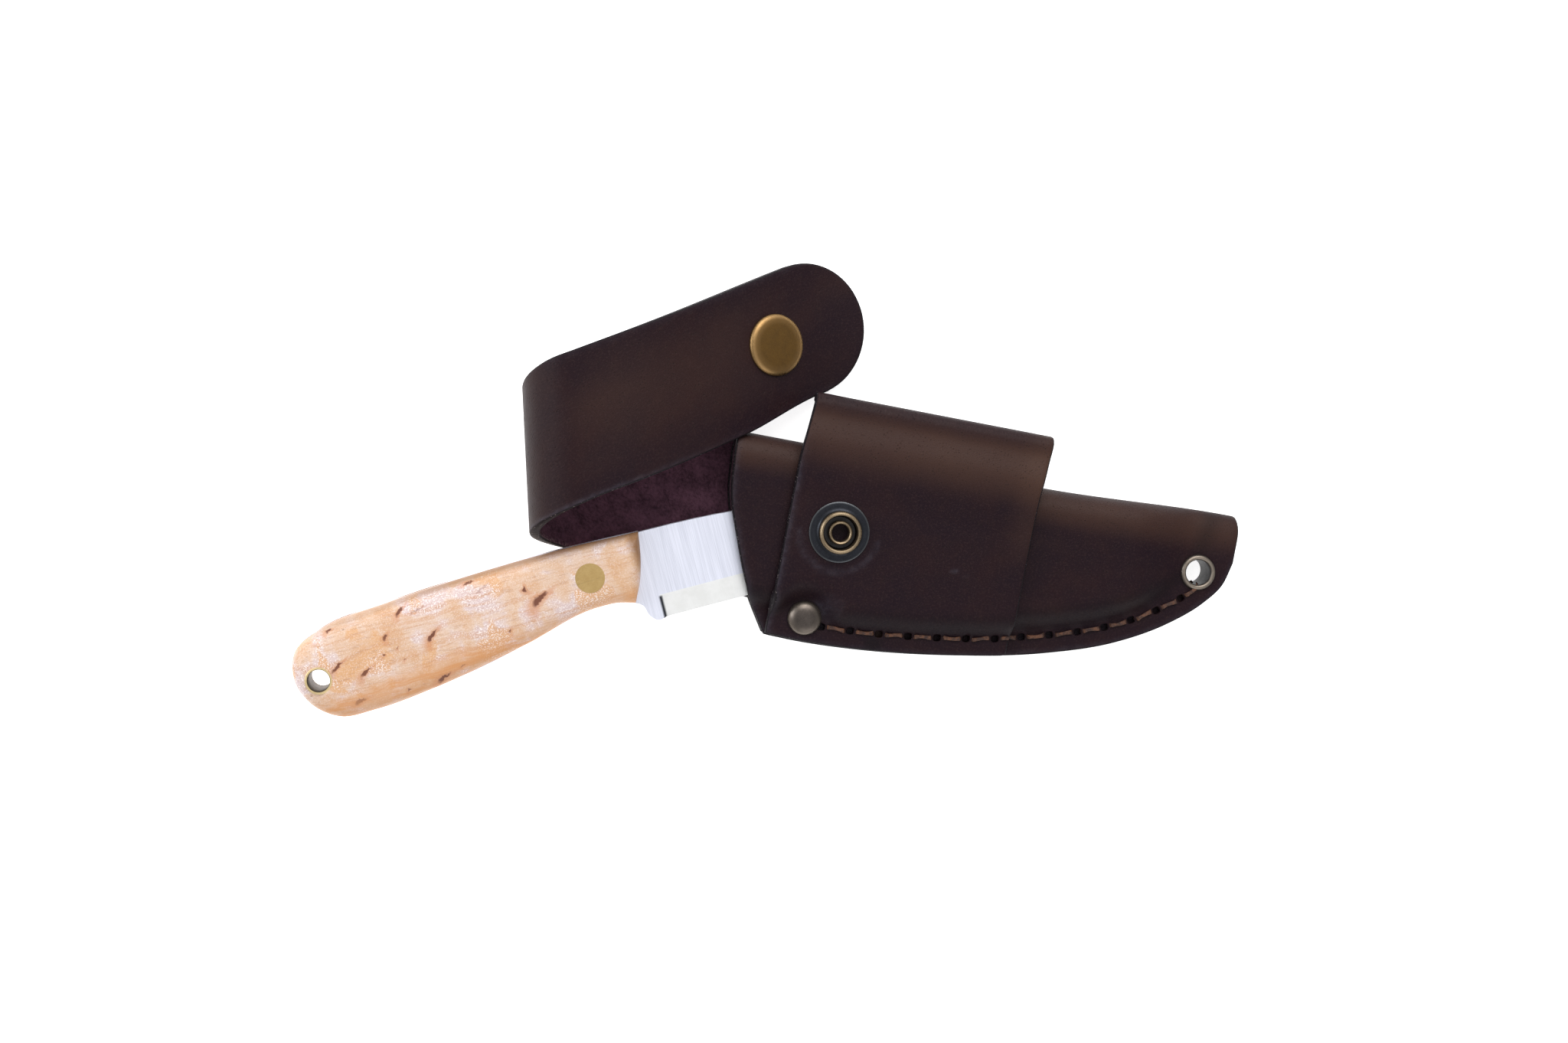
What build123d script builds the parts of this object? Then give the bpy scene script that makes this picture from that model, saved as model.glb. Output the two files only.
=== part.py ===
"""Whittling knife lying half drawn in its leather belt sheath.

Millimetres, +Z up.  The origin is the middle of the belt wrap's back panel, on the
surface that the sheath lies on.  +X runs from the sheath's mouth to its tip and +Y
from the stitched seam to the folded spine.
"""
from build123d import *
from math import cos, hypot, pi, radians, sin, sqrt, tan
import os

os.makedirs("parts", exist_ok=True)

# ---------------------------------------------------------------- driving dimensions
# Leather stack at the seam, from the table up
LEATHER = 2.4
WRAP_T = 2.6
WELT_T = 3.0
BODY_BACK_Z = WRAP_T + 0.4
WELT_Z = BODY_BACK_Z + LEATHER
BODY_FRONT_Z = WELT_Z + WELT_T
WRAP_FRONT_Z = BODY_FRONT_Z + LEATHER
DOME_RISE = 4.0          # how far the front panel stands up over the blade
BODY_TOP = WRAP_FRONT_Z + DOME_RISE
WRAP_TOP = BODY_TOP + WRAP_T

# Sheath plan
SPINE_Y = 16.7
TIP = (82.0, 3.5)
TIP_TOP_X = 81.9
MOUTH_BOTTOM = (-33.6, -31.8)
MOUTH_TOP_X = -49.6
SEAM_INSET = 4.4         # stitch line to the cut edge
WELT_W = 6.4
RAMP_START = 6.0         # inset of the foot of the raised front
RAMP_RUN = 4.0           # plan length of the slope up to the raised front
RAMP_END_X = 67.5        # the raised front ends short of the tip

# Belt wrap
WRAP_X0 = -33.9
WRAP_X1 = 27.5
WRAP_NOSE_Y = 29.8
WRAP_NOSE_Z = 11.5
WRAP_CREST_Z = WRAP_TOP + 1.0
NOSE_CORNER = (2.7, 4.5)   # how far the mouth-side corner of the nose is drawn in

# Retention strap: a flat strip bent round a level ruling line
STRAP_T = 2.6
STRAP_W = 32.2
FOLD_OUTER_R = 13.0
FOLD_X = -100.6
FOLD_Y = 2.8
FOLD_HEADING = 13.2      # plan direction square to the fold's ruling
STRAP_SKEW = 18.0        # strap direction against that heading
FALL_START = -78.0       # where the front layer starts to fall
FALL_END = -12.0
TIP_MID_Z = 2.2
END_ROUND_S = -25.8      # centre of the rounded free end
END_ROUND_R = 14.7       # its radius along the fall, as seen from above
HINGE_GAP = 0.3

# Knife
KNIFE_ORIGIN = (-67.5, -22.0)
KNIFE_HEADING = 25.0
KNIFE_MID_Z = 9.7
BLADE_T = 2.6
BEVEL_W = 5.7
HEEL_X = 3.6
EDGE_Y = -13.1
SCALE_T = 5.1
SCALE_CROWN = ((0, 0.0), (0.45, 0.35), (0.72, 1.1), (0.9, 2.3), (1, 4.2))   # height share, inset
BOLT_AT = (-12.2, 1.6)
BOLT_HEAD_R = 3.65
BOLT_HEAD_T = 3.2
BOLT_SLEEVE_R = 2.4
BOLT_SHANK_R = 1.5
TUBE_AT = (-82.1, -5.9)
TUBE_R = 3.35
TUBE_BORE_R = 2.7
FIT = 0.03               # slip fit of pins in their holes

# Metal fittings on the leather
STUD_AT = (-20.8, -3.4)
STUD_FLANGE_R = 7.6
STUD_RING_R = 5.3
STUD_H = 3.4
STUD_BASE_T = 0.6
STUD_POST_R = 2.65
STUD_BORE_R = 2.1
STUD_BACK_R = 4.9
STUD_BACK_T = 0.6
RIVET_AT = (-24.8, -26.2)
RIVET_R = 4.3
RIVET_HEAD_H = 2.2
RIVET_FLANGE_T = 0.9
RIVET_HOLE_R = 1.5
RIVET_SEAT_R = 6.4       # the leather stays level this far round the rivet
EYELET_AT = (73.3, 2.9)
EYELET_R = 4.55
EYELET_BORE_R = 3.2
EYELET_WALL = 0.55
EYELET_ROLL = 0.9
CAP_S = -34.6            # cap's place along the fold heading
CAP_R = 7.75
CAP_T = 1.5
SOCKET_R = 6.7
SOCKET_H = 3.6

# Lacing
LACE_W = 1.9
LACE_T = 0.7
STITCHES = 14
STITCH_FROM = 0.105      # share of the seam's length
STITCH_TO = 0.925
STITCH_SHARE = 0.8       # how much of each pitch the lace covers


# ---------------------------------------------------------------- sheath outline
def seam_line(inset=0.0):
    """Lower edge of the pouch from mouth to tip, moved inwards by inset."""
    edge = Spline(MOUTH_BOTTOM, (-12, -31.8), (14, -29.0), (38, -24.3), (56, -18.2), (70, -10.0), TIP,
                  tangents=[(1, -0.12), (0.7, 1)], mode=Mode.PRIVATE)
    points = []
    for step in range(7):
        at = edge @ (step / 6)
        along = edge % (step / 6)
        points.append((at.X - along.Y * inset, at.Y + along.X * inset))
    return points


def pouch_face(inset=0.0, spare=0.0):
    """Plan face of the pouch: inset at seam and tip, longer by spare past the spine."""
    with BuildSketch() as face:
        with BuildLine():
            seam = Spline(*seam_line(inset))
            tip_edge = Line(seam @ 1, (TIP_TOP_X - inset, SPINE_Y + spare))
            top = Line(tip_edge @ 1, (MOUTH_TOP_X - 20, SPINE_Y + spare))
            mouth = Line(top @ 1, (MOUTH_TOP_X - 20, (seam @ 0).Y))
            Line(mouth @ 1, seam @ 0)
        make_face()
    return face.sketch


def mouth_tool():
    """Solid that covers all that lies inside the curved mouth line."""
    with BuildPart(mode=Mode.PRIVATE) as tool:
        with BuildSketch(Plane.XY.offset(-1)):
            with BuildLine():
                mouth = Spline(MOUTH_BOTTOM, (-39.7, -21.9), (-45.0, -9.5), (-48.6, 1.0), (-49.8, 12.0),
                               (MOUTH_TOP_X, SPINE_Y + 0.5))
                over = Line(mouth @ 1, (90, SPINE_Y + 0.5))
                down = Line(over @ 1, (90, -45))
                back = Line(down @ 1, (MOUTH_BOTTOM[0], -45))
                Line(back @ 1, mouth @ 0)
            make_face()
        extrude(amount=40)
    return tool.part


def raised(inset, z_low, z_high, seat_r):
    """Raised block over the blade: sloped along seam and tip, level round the rivet."""
    with BuildPart(mode=Mode.PRIVATE) as block:
        with BuildSketch(Plane.XY.offset(z_low)):
            add(pouch_face(inset, 10))
        with BuildSketch(Plane.XY.offset(z_high)):
            add(pouch_face(inset + RAMP_RUN, 10))
        loft(ruled=True)
        end = Plane(origin=(RAMP_END_X + RAMP_START - inset, 0, z_low), z_dir=(1, 0, 1))
        split(bisect_by=end, keep=Keep.BOTTOM)
        with Locations((*RIVET_AT, z_low)):
            Cylinder(seat_r, 20, mode=Mode.SUBTRACT)
    return block.part


MOUTH = mouth_tool()

def folded_bar(spine_y, z_low, z_high):
    """Long bar over the whole sheath whose +Y side is a half round between two heights."""
    radius = (z_high - z_low) / 2
    with BuildPart(mode=Mode.PRIVATE) as bar:
        with BuildSketch(Plane.YZ.offset(-80)):
            with BuildLine():
                low = Line((-60, z_low), (spine_y - radius, z_low))
                nose = RadiusArc(low @ 1, (spine_y - radius, z_high), -radius)
                high = Line(nose @ 1, (-60, z_high))
                Line(high @ 1, low @ 0)
            make_face()
        extrude(amount=200)
    return bar.part


def pocket_core():
    """Room for the blade under the raised front panel."""
    with BuildPart(mode=Mode.PRIVATE) as core:
        add(raised(RAMP_START + 0.5, BODY_FRONT_Z - 0.01, BODY_TOP - LEATHER, RIVET_SEAT_R + 1.7))
        add(folded_bar(SPINE_Y - LEATHER, WELT_Z, BODY_TOP - LEATHER), mode=Mode.INTERSECT)
    return core.part


# ---------------------------------------------------------------- pouch body
with BuildPart() as sheath_body:
    with BuildSketch(Plane.XY.offset(BODY_BACK_Z)):
        add(pouch_face(0, 0))
    extrude(amount=WRAP_FRONT_Z - BODY_BACK_Z)
    add(raised(RAMP_START, WRAP_FRONT_Z, BODY_TOP, RIVET_SEAT_R))
    # the folded spine is round
    add(folded_bar(SPINE_Y, BODY_BACK_Z, BODY_TOP), mode=Mode.INTERSECT)
    # the pocket between the two panels, open along the seam for the welt
    with BuildSketch(Plane.XY.offset(WELT_Z)):
        with Locations((10, SPINE_Y - LEATHER - 50)):
            Rectangle(200, 100)
    extrude(amount=WELT_T, mode=Mode.SUBTRACT)
    add(pocket_core(), mode=Mode.SUBTRACT)
    add(MOUTH, mode=Mode.INTERSECT)
    with Locations((*EYELET_AT, 0)):
        Cylinder(EYELET_BORE_R + EYELET_WALL + FIT, 60, mode=Mode.SUBTRACT)
    with Locations((*RIVET_AT, 0)):
        Cylinder(RIVET_HOLE_R, 60, mode=Mode.SUBTRACT)
sheath_body.part.label = "sheath_body"
export_step(sheath_body.part, "parts/sheath_body.step")

# ---------------------------------------------------------------- welt between the panels
with BuildPart() as welt:
    with BuildSketch(Plane.XY.offset(WELT_Z)):
        add(pouch_face())
        with BuildLine():
            inner = Spline(*seam_line(WELT_W))
            rise = Line(inner @ 1, (TIP_TOP_X - WELT_W - 10, SPINE_Y))
            across = Line(rise @ 1, (MOUTH_TOP_X - 30, SPINE_Y))
            drop = Line(across @ 1, (MOUTH_TOP_X - 30, (inner @ 0).Y))
            Line(drop @ 1, inner @ 0)
        make_face(mode=Mode.SUBTRACT)
        with Locations((0, SPINE_Y - LEATHER + 10)):
            Rectangle(250, 20, mode=Mode.SUBTRACT)
    extrude(amount=WELT_T)
    add(MOUTH, mode=Mode.INTERSECT)
    with Locations((*EYELET_AT, 0)):
        Cylinder(EYELET_BORE_R + EYELET_WALL + FIT, 60, mode=Mode.SUBTRACT)
    with Locations((*RIVET_AT, 0)):
        Cylinder(RIVET_HOLE_R, 60, mode=Mode.SUBTRACT)
welt.part.label = "welt"
export_step(welt.part, "parts/welt.step")

# ---------------------------------------------------------------- belt wrap
def stitch_runs():
    """Start and end of each visible run of lace, between two punched holes."""
    line = Spline(*seam_line(SEAM_INSET), mode=Mode.PRIVATE)
    runs = []
    for step in range(STITCHES):
        first = STITCH_FROM + (STITCH_TO - STITCH_FROM) * step / STITCHES
        last = STITCH_FROM + (STITCH_TO - STITCH_FROM) * (step + STITCH_SHARE) / STITCHES
        runs.append((line @ first, line @ last))
    return runs


def stitch_plane(start, end, z):
    """Level plane at height z, centred on a run of lace and lined up with it."""
    middle = (start + end) / 2
    return Plane(origin=(middle.X, middle.Y, z), x_dir=end - start, z_dir=(0, 0, 1))


def loop_core(grow):
    """Solid inside the wrap's loop profile, which is moved inwards by grow."""
    with BuildPart(mode=Mode.PRIVATE) as core:
        with BuildSketch(Plane.YZ.offset(WRAP_X0 - grow)):
            with BuildLine():
                nose = (WRAP_NOSE_Y - grow, WRAP_NOSE_Z)
                low = Line((-50, grow), (4, grow))
                under = Spline(low @ 1, nose, tangents=[(1, 0), (0, 1)])
                over = Spline(nose, (18, WRAP_CREST_Z - grow), (6, WRAP_TOP - grow), tangents=[(0, 1), (-1, 0)])
                high = Line(over @ 1, (-50, WRAP_TOP - grow))
                Line(high @ 1, low @ 0)
            make_face()
        extrude(amount=WRAP_X1 - WRAP_X0 + 2 * grow)
    return core.part


def wrap_front():
    """Front panel of the wrap, shaped over the pouch's raised front."""
    with BuildPart(mode=Mode.PRIVATE) as panel:
        with BuildSketch(Plane.XY.offset(WRAP_FRONT_Z)):
            add(pouch_face())
        extrude(amount=WRAP_T)
        add(raised(RAMP_START - WRAP_T / 2, WRAP_FRONT_Z + WRAP_T, WRAP_TOP, RIVET_SEAT_R - 1.5))
        add(raised(RAMP_START - 0.2, WRAP_FRONT_Z, BODY_TOP, RIVET_SEAT_R - 0.1), mode=Mode.SUBTRACT)
        with Locations(((WRAP_X0 + WRAP_X1) / 2, -17, 10)):
            Box(WRAP_X1 - WRAP_X0, 34, 60, mode=Mode.INTERSECT)
    return panel.part


def wrap_plan():
    """Plan outline of the wrap, with the nose corner by the mouth cut round."""
    with BuildPart(mode=Mode.PRIVATE) as plan:
        with BuildSketch(Plane.XY.offset(-5)):
            add(pouch_face(0, 30))
            with BuildLine():
                lean = Line((WRAP_X0, SPINE_Y), (WRAP_X0 + NOSE_CORNER[0], WRAP_NOSE_Y - 1.2))
                turn = Line(lean @ 1, (WRAP_X0 + NOSE_CORNER[1], WRAP_NOSE_Y + 1))
                left = Line(turn @ 1, (WRAP_X0 - 5, WRAP_NOSE_Y + 1))
                down = Line(left @ 1, (WRAP_X0 - 5, SPINE_Y))
                Line(down @ 1, lean @ 0)
            make_face(mode=Mode.SUBTRACT)
        extrude(amount=50)
    return plan.part


with BuildPart() as belt_wrap:
    add(loop_core(0))
    add(loop_core(WRAP_T), mode=Mode.SUBTRACT)
    # the plain front of the loop gives way to the panel shaped over the pouch
    with Locations((0, -30, WRAP_TOP)):
        Box(200, 60, 2 * WRAP_TOP - 2 * WRAP_T - 4, mode=Mode.SUBTRACT)
    add(wrap_front())
    add(wrap_plan(), mode=Mode.INTERSECT)
    with Locations((*RIVET_AT, 0)):
        Cylinder(RIVET_HOLE_R, 60, mode=Mode.SUBTRACT)
        Cylinder(RIVET_R + 0.2, 2 * RIVET_FLANGE_T, mode=Mode.SUBTRACT)
    with Locations((*STUD_AT, WRAP_TOP)):
        Cylinder(STUD_POST_R, 2 * WRAP_T + 2, mode=Mode.SUBTRACT)
    with Locations((*STUD_AT, BODY_TOP)):
        Cylinder(STUD_BACK_R + 0.2, 2 * STUD_BACK_T, mode=Mode.SUBTRACT)
    # grooves that take the lacing behind the sheath
    for start, end in stitch_runs():
        if start.X < WRAP_X1:
            with BuildSketch(stitch_plane(start, end, -1)):
                SlotOverall((end - start).length + 0.4, LACE_W + 0.4)
            extrude(amount=1 + LACE_T + 0.2, mode=Mode.SUBTRACT)
belt_wrap.part.label = "belt_wrap"
export_step(belt_wrap.part, "parts/belt_wrap.step")

# ---------------------------------------------------------------- retention strap
HEAD = radians(FOLD_HEADING)
SKEW_RISE = tan(radians(STRAP_SKEW))
BEND_R = FOLD_OUTER_R - STRAP_T / 2
FOLD_S = FOLD_X * cos(HEAD) + FOLD_Y * sin(HEAD)
FOLD_Q = -FOLD_X * sin(HEAD) + FOLD_Y * cos(HEAD)
BEND_S = FOLD_S + FOLD_OUTER_R
CROSS_W = STRAP_W / cos(radians(STRAP_SKEW))
LAYER_MID_Z = 2 * FOLD_OUTER_R - STRAP_T / 2


def front_height(s):
    """Height of the front layer's middle at place s along the fold heading."""
    share = min(max((s - FALL_START) / (FALL_END - FALL_START), 0), 1)
    return LAYER_MID_Z - (LAYER_MID_Z - TIP_MID_Z) * (1 - cos(pi * share)) / 2


def front_slope(s):
    """Slope of the front layer at s."""
    share = min(max((s - FALL_START) / (FALL_END - FALL_START), 0), 1)
    return -(LAYER_MID_Z - TIP_MID_Z) * pi * sin(pi * share) / 2 / (FALL_END - FALL_START)


def front_length(s):
    """Length along the front layer from the fold's outermost line to s."""
    steps = 60
    width = (s - BEND_S) / steps
    slant = sum(hypot(1, front_slope(BEND_S + (i + 0.5) * width)) for i in range(steps))
    return BEND_R * pi / 2 + slant * width


def strap_frame(s, z, length, along_s, along_z):
    """Plane square to the strap's run, with X along the ruling line."""
    q = FOLD_Q + SKEW_RISE * length
    origin = (s * cos(HEAD) - q * sin(HEAD), s * sin(HEAD) + q * cos(HEAD), z)
    run = (along_s * cos(HEAD), along_s * sin(HEAD), along_z)
    return Plane(origin=origin, x_dir=(-sin(HEAD), cos(HEAD), 0), z_dir=run)


def bend_frame(angle):
    """Frame in the bend; angle 0 is at the table and 180 at the front layer."""
    turn = radians(angle)
    return strap_frame(BEND_S - BEND_R * sin(turn), FOLD_OUTER_R - BEND_R * cos(turn),
                       BEND_R * (turn - pi / 2), -cos(turn), sin(turn))


def rear_frame(s):
    """Frame in the layer that lies on the table."""
    return strap_frame(s, STRAP_T / 2, -BEND_R * pi / 2 - (s - BEND_S), -1, 0)


def front_frame(s):
    """Frame in the front layer."""
    return strap_frame(s, front_height(s), front_length(s), 1, front_slope(s))


GAP_ANGLE = HINGE_GAP / 2 / BEND_R * 180 / pi
ROOT_X = WRAP_X0 - HINGE_GAP

with BuildPart() as strap_back:
    stations = [rear_frame(-20), rear_frame(BEND_S)]
    stations += [bend_frame(angle) for angle in (15, 30, 45, 60, 75, 90 - GAP_ANGLE)]
    for station in stations:
        with BuildSketch(station):
            Rectangle(CROSS_W, STRAP_T)
    loft(ruled=True)
    split(bisect_by=Plane.YZ.offset(ROOT_X), keep=Keep.BOTTOM)
strap_back.part.label = "strap_back"
export_step(strap_back.part, "parts/strap_back.step")

end_frame = front_frame(END_ROUND_S)
strip_heading = radians(FOLD_HEADING + STRAP_SKEW)
with BuildPart(mode=Mode.PRIVATE) as end_tool:
    with BuildSketch(Plane(origin=(end_frame.origin.X, end_frame.origin.Y, -5),
                           x_dir=(cos(strip_heading), sin(strip_heading), 0))):
        with Locations((-75, 0)):
            Rectangle(150, 80)
        Ellipse(END_ROUND_R, STRAP_W / 2, rotation=-STRAP_SKEW)
    extrude(amount=40)

cap_frame = front_frame(CAP_S)
cap_up = Plane(origin=cap_frame.origin, x_dir=cap_frame.x_dir,
               z_dir=(-front_slope(CAP_S) * cos(HEAD), -front_slope(CAP_S) * sin(HEAD), 1))
with BuildPart() as strap_front:
    stations = [bend_frame(angle) for angle in (90 + GAP_ANGLE, 105, 120, 135, 150, 165, 180)]
    stations += [front_frame(FALL_START + (FALL_END + 4 - FALL_START) * step / 12) for step in range(13)]
    for station in stations:
        with BuildSketch(station):
            Rectangle(CROSS_W, STRAP_T)
    loft(ruled=True)
    add(end_tool.part, mode=Mode.INTERSECT)
    with Locations(cap_up):
        Cylinder(STUD_POST_R, 3 * STRAP_T, mode=Mode.SUBTRACT)
strap_front.part.label = "strap_front"
export_step(strap_front.part, "parts/strap_front.step")

# ---------------------------------------------------------------- snap cap and socket
with BuildPart() as snap_cap:
    with BuildSketch(cap_up.offset(STRAP_T / 2 + 0.1)):
        Circle(CAP_R)
    extrude(amount=CAP_T)
    fillet(snap_cap.faces().sort_by(Axis(cap_up.origin, cap_up.z_dir))[-1].edges(), radius=0.9)
    with BuildSketch(cap_up.offset(-STRAP_T / 2 - 1.6)):
        Circle(STUD_POST_R - FIT)
    extrude(amount=STRAP_T + 1.6 + 0.2)
snap_cap.part.label = "snap_cap"
export_step(snap_cap.part, "parts/snap_cap.step")

with BuildPart() as snap_socket:
    with BuildSketch(cap_up.offset(-STRAP_T / 2)):
        Circle(SOCKET_R)
        Circle(STUD_POST_R, mode=Mode.SUBTRACT)
    extrude(amount=-0.7)
    with BuildSketch(cap_up.offset(-STRAP_T / 2 - 0.7)):
        Circle(SOCKET_R)
        Circle(STUD_RING_R + 0.3, mode=Mode.SUBTRACT)
    extrude(amount=-(SOCKET_H - 0.7))
snap_socket.part.label = "snap_socket"
export_step(snap_socket.part, "parts/snap_socket.step")

# ---------------------------------------------------------------- stud on the wrap
with BuildPart() as snap_stud:
    with BuildSketch(Plane(origin=(*STUD_AT, 0), x_dir=(1, 0, 0), z_dir=(0, -1, 0))):
        with BuildLine():
            base = Polyline((STUD_POST_R + FIT, WRAP_TOP), (STUD_FLANGE_R, WRAP_TOP),
                            (STUD_FLANGE_R, WRAP_TOP + 0.3))
            slope = Line(base @ 1, (STUD_RING_R - 0.2, WRAP_TOP + STUD_BASE_T + 0.2))
            neck = Line(slope @ 1, (STUD_RING_R - 0.3, WRAP_TOP + 1.6))
            lip = Polyline(neck @ 1, (STUD_RING_R, WRAP_TOP + 2.2), (STUD_RING_R, WRAP_TOP + 2.9),
                           (STUD_RING_R - 0.5, WRAP_TOP + STUD_H), (STUD_RING_R - 0.9, WRAP_TOP + STUD_H),
                           (STUD_RING_R - 1.1, WRAP_TOP + STUD_BASE_T + 0.5))
            floor = Line(lip @ 1, (STUD_POST_R + FIT, WRAP_TOP + STUD_BASE_T + 0.5))
            Line(floor @ 1, base @ 0)
        make_face()
    revolve(axis=Axis((*STUD_AT, 0), (0, 0, 1)))
snap_stud.part.label = "snap_stud"
export_step(snap_stud.part, "parts/snap_stud.step")

with BuildPart() as stud_eyelet:
    with BuildSketch(Plane.XY.offset(BODY_TOP)):
        with Locations(STUD_AT):
            Circle(STUD_BACK_R)
            Circle(STUD_BORE_R, mode=Mode.SUBTRACT)
    extrude(amount=STUD_BACK_T)
    with BuildSketch(Plane.XY.offset(BODY_TOP)):
        with Locations(STUD_AT):
            Circle(STUD_POST_R)
            Circle(STUD_BORE_R, mode=Mode.SUBTRACT)
    extrude(amount=WRAP_T + STUD_H - 0.6)
    with BuildSketch(Plane.XY.offset(WRAP_TOP + STUD_BASE_T + 0.5)):
        with Locations(STUD_AT):
            Circle(STUD_POST_R + 0.35)
            Circle(STUD_BORE_R, mode=Mode.SUBTRACT)
    extrude(amount=STUD_H - STUD_BASE_T - 1.1)
    fillet(stud_eyelet.faces().sort_by(Axis.Z)[-1].edges(), radius=0.25)
stud_eyelet.part.label = "stud_eyelet"
export_step(stud_eyelet.part, "parts/stud_eyelet.step")

# ---------------------------------------------------------------- rivet by the mouth
RIVET_FACE_Z = WRAP_FRONT_Z + WRAP_T
with BuildPart() as rivet_cap:
    with BuildSketch(Plane.XY.offset(RIVET_FACE_Z)):
        with Locations(RIVET_AT):
            Circle(RIVET_R)
    extrude(amount=RIVET_HEAD_H)
    fillet(rivet_cap.faces().sort_by(Axis.Z)[-1].edges(), radius=RIVET_HEAD_H - 0.4)
    with BuildSketch(Plane.XY.offset(BODY_BACK_Z)):
        with Locations(RIVET_AT):
            Circle(RIVET_HOLE_R - 0.55)
    extrude(amount=RIVET_FACE_Z - BODY_BACK_Z + 0.2)
rivet_cap.part.label = "rivet_cap"
export_step(rivet_cap.part, "parts/rivet_cap.step")

with BuildPart() as rivet_post:
    with BuildSketch(Plane.XY.offset(0.05)):
        with Locations(RIVET_AT):
            Circle(RIVET_R)
    extrude(amount=RIVET_FLANGE_T - 0.05)
    with BuildSketch(Plane.XY.offset(RIVET_FLANGE_T)):
        with Locations(RIVET_AT):
            Circle(RIVET_HOLE_R - FIT)
            Circle(RIVET_HOLE_R - 0.5, mode=Mode.SUBTRACT)
    extrude(amount=RIVET_FACE_Z - RIVET_FLANGE_T - 0.3)
rivet_post.part.label = "rivet_post"
export_step(rivet_post.part, "parts/rivet_post.step")

# ---------------------------------------------------------------- eyelet at the tip
with BuildPart() as tip_eyelet:
    with BuildSketch(Plane(origin=(*EYELET_AT, 0), x_dir=(1, 0, 0), z_dir=(0, -1, 0))):
        with BuildLine():
            bore = Line((EYELET_BORE_R, BODY_BACK_Z - 0.9), (EYELET_BORE_R, WRAP_FRONT_Z + EYELET_ROLL - 0.4))
            roll = ThreePointArc(bore @ 1, (EYELET_BORE_R + 0.5, WRAP_FRONT_Z + EYELET_ROLL),
                                 (EYELET_R, WRAP_FRONT_Z))
            wall = Polyline(roll @ 1, (EYELET_BORE_R + EYELET_WALL, WRAP_FRONT_Z),
                            (EYELET_BORE_R + EYELET_WALL, BODY_BACK_Z - 0.6),
                            (EYELET_BORE_R + 0.9, BODY_BACK_Z - 0.75), (EYELET_BORE_R + 0.9, BODY_BACK_Z - 0.9))
            Line(wall @ 1, bore @ 0)
        make_face()
    revolve(axis=Axis((*EYELET_AT, 0), (0, 0, 1)))
tip_eyelet.part.label = "tip_eyelet"
export_step(tip_eyelet.part, "parts/tip_eyelet.step")

with BuildPart() as eyelet_washer:
    with BuildSketch(Plane.XY.offset(BODY_BACK_Z)):
        with Locations(EYELET_AT):
            Circle(EYELET_R)
            Circle(EYELET_BORE_R + EYELET_WALL + FIT, mode=Mode.SUBTRACT)
    extrude(amount=-0.5)
eyelet_washer.part.label = "eyelet_washer"
export_step(eyelet_washer.part, "parts/eyelet_washer.step")

# ---------------------------------------------------------------- lacing along the seam
with BuildPart() as seam_lacing:
    for start, end in stitch_runs():
        run = (end - start).length
        on_wrap = end.X < WRAP_X1
        if not on_wrap and start.X < WRAP_X1 + 1:
            start = end - (end - start) * 0.5
            run = (end - start).length
        top_z = WRAP_FRONT_Z + (WRAP_T if on_wrap else 0)
        back_z = 0.1 if on_wrap else BODY_BACK_Z - LACE_T
        for z in (top_z, back_z):
            with BuildSketch(stitch_plane(start, end, z)):
                SlotOverall(run, LACE_W)
            extrude(amount=LACE_T)
seam_lacing.part.label = "seam_lacing"
export_step(seam_lacing.part, "parts/seam_lacing.step")

# ---------------------------------------------------------------- knife
KNIFE = Plane(origin=(*KNIFE_ORIGIN, KNIFE_MID_Z),
              x_dir=(cos(radians(KNIFE_HEADING)), sin(radians(KNIFE_HEADING)), 0))
HALF_BLADE = BLADE_T / 2
HALF_HANDLE = HALF_BLADE + SCALE_T
# the handle's rim from the finger guard, along the belly, round the butt and back along the top
HANDLE_RIM = ((-2.8, -7.6), (-6.8, -6.5), (-12.0, -6.3), (-31.7, -10.7), (-56.0, -15.3), (-71.0, -16.7),
              (-79.6, -16.2), (-85.4, -11.8), (-88.2, -4.8), (-86.3, 2.1), (-79.8, 5.6), (-62.0, 8.0),
              (-40.0, 9.4), (-16.0, 9.9), (2.2, 9.4))


def handle_face(inset=0.0):
    """Plan outline of the handle, drawn in by inset all round."""
    last = len(HANDLE_RIM) - 1
    rim = []
    for index, (x, y) in enumerate(HANDLE_RIM):
        before = HANDLE_RIM[max(index - 1, 0)]
        after = HANDLE_RIM[min(index + 1, last)]
        along = Vector(after[0] - before[0], after[1] - before[1]).normalized()
        setback = 0.5 * inset if index in (0, last) else 0
        rim.append((x + along.Y * inset - setback, y - along.X * inset))
    with BuildSketch() as face:
        with BuildLine():
            rear = Spline(*rim)
            Spline(rear @ 1, (1.2 - 0.5 * inset, 3.0), rear @ 0, tangents=[(0, -1), (-0.35, -1)])
        make_face()
    return face.sketch


def ground_face(bevel):
    """Plan section of the ground blade, with its cutting edge set back by bevel."""
    with BuildSketch() as face:
        with BuildLine():
            spine = Spline((HEEL_X, 9.2), (28.0, 8.2), (50.0, 5.4), (68.5 - 0.7 * bevel, -2.0 + 0.6 * bevel),
                           tangents=[(1, 0), (0.75, -0.62)])
            edge = Spline(spine @ 1, (58.0 - 0.45 * bevel, -9.4 + 0.9 * bevel), (36.0, EDGE_Y + bevel),
                          tangents=[(-0.8, -0.42), (-1, 0)])
            flat = Line(edge @ 1, (HEEL_X, EDGE_Y + bevel))
            Line(flat @ 1, spine @ 0)
        make_face()
    return face.sketch


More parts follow.
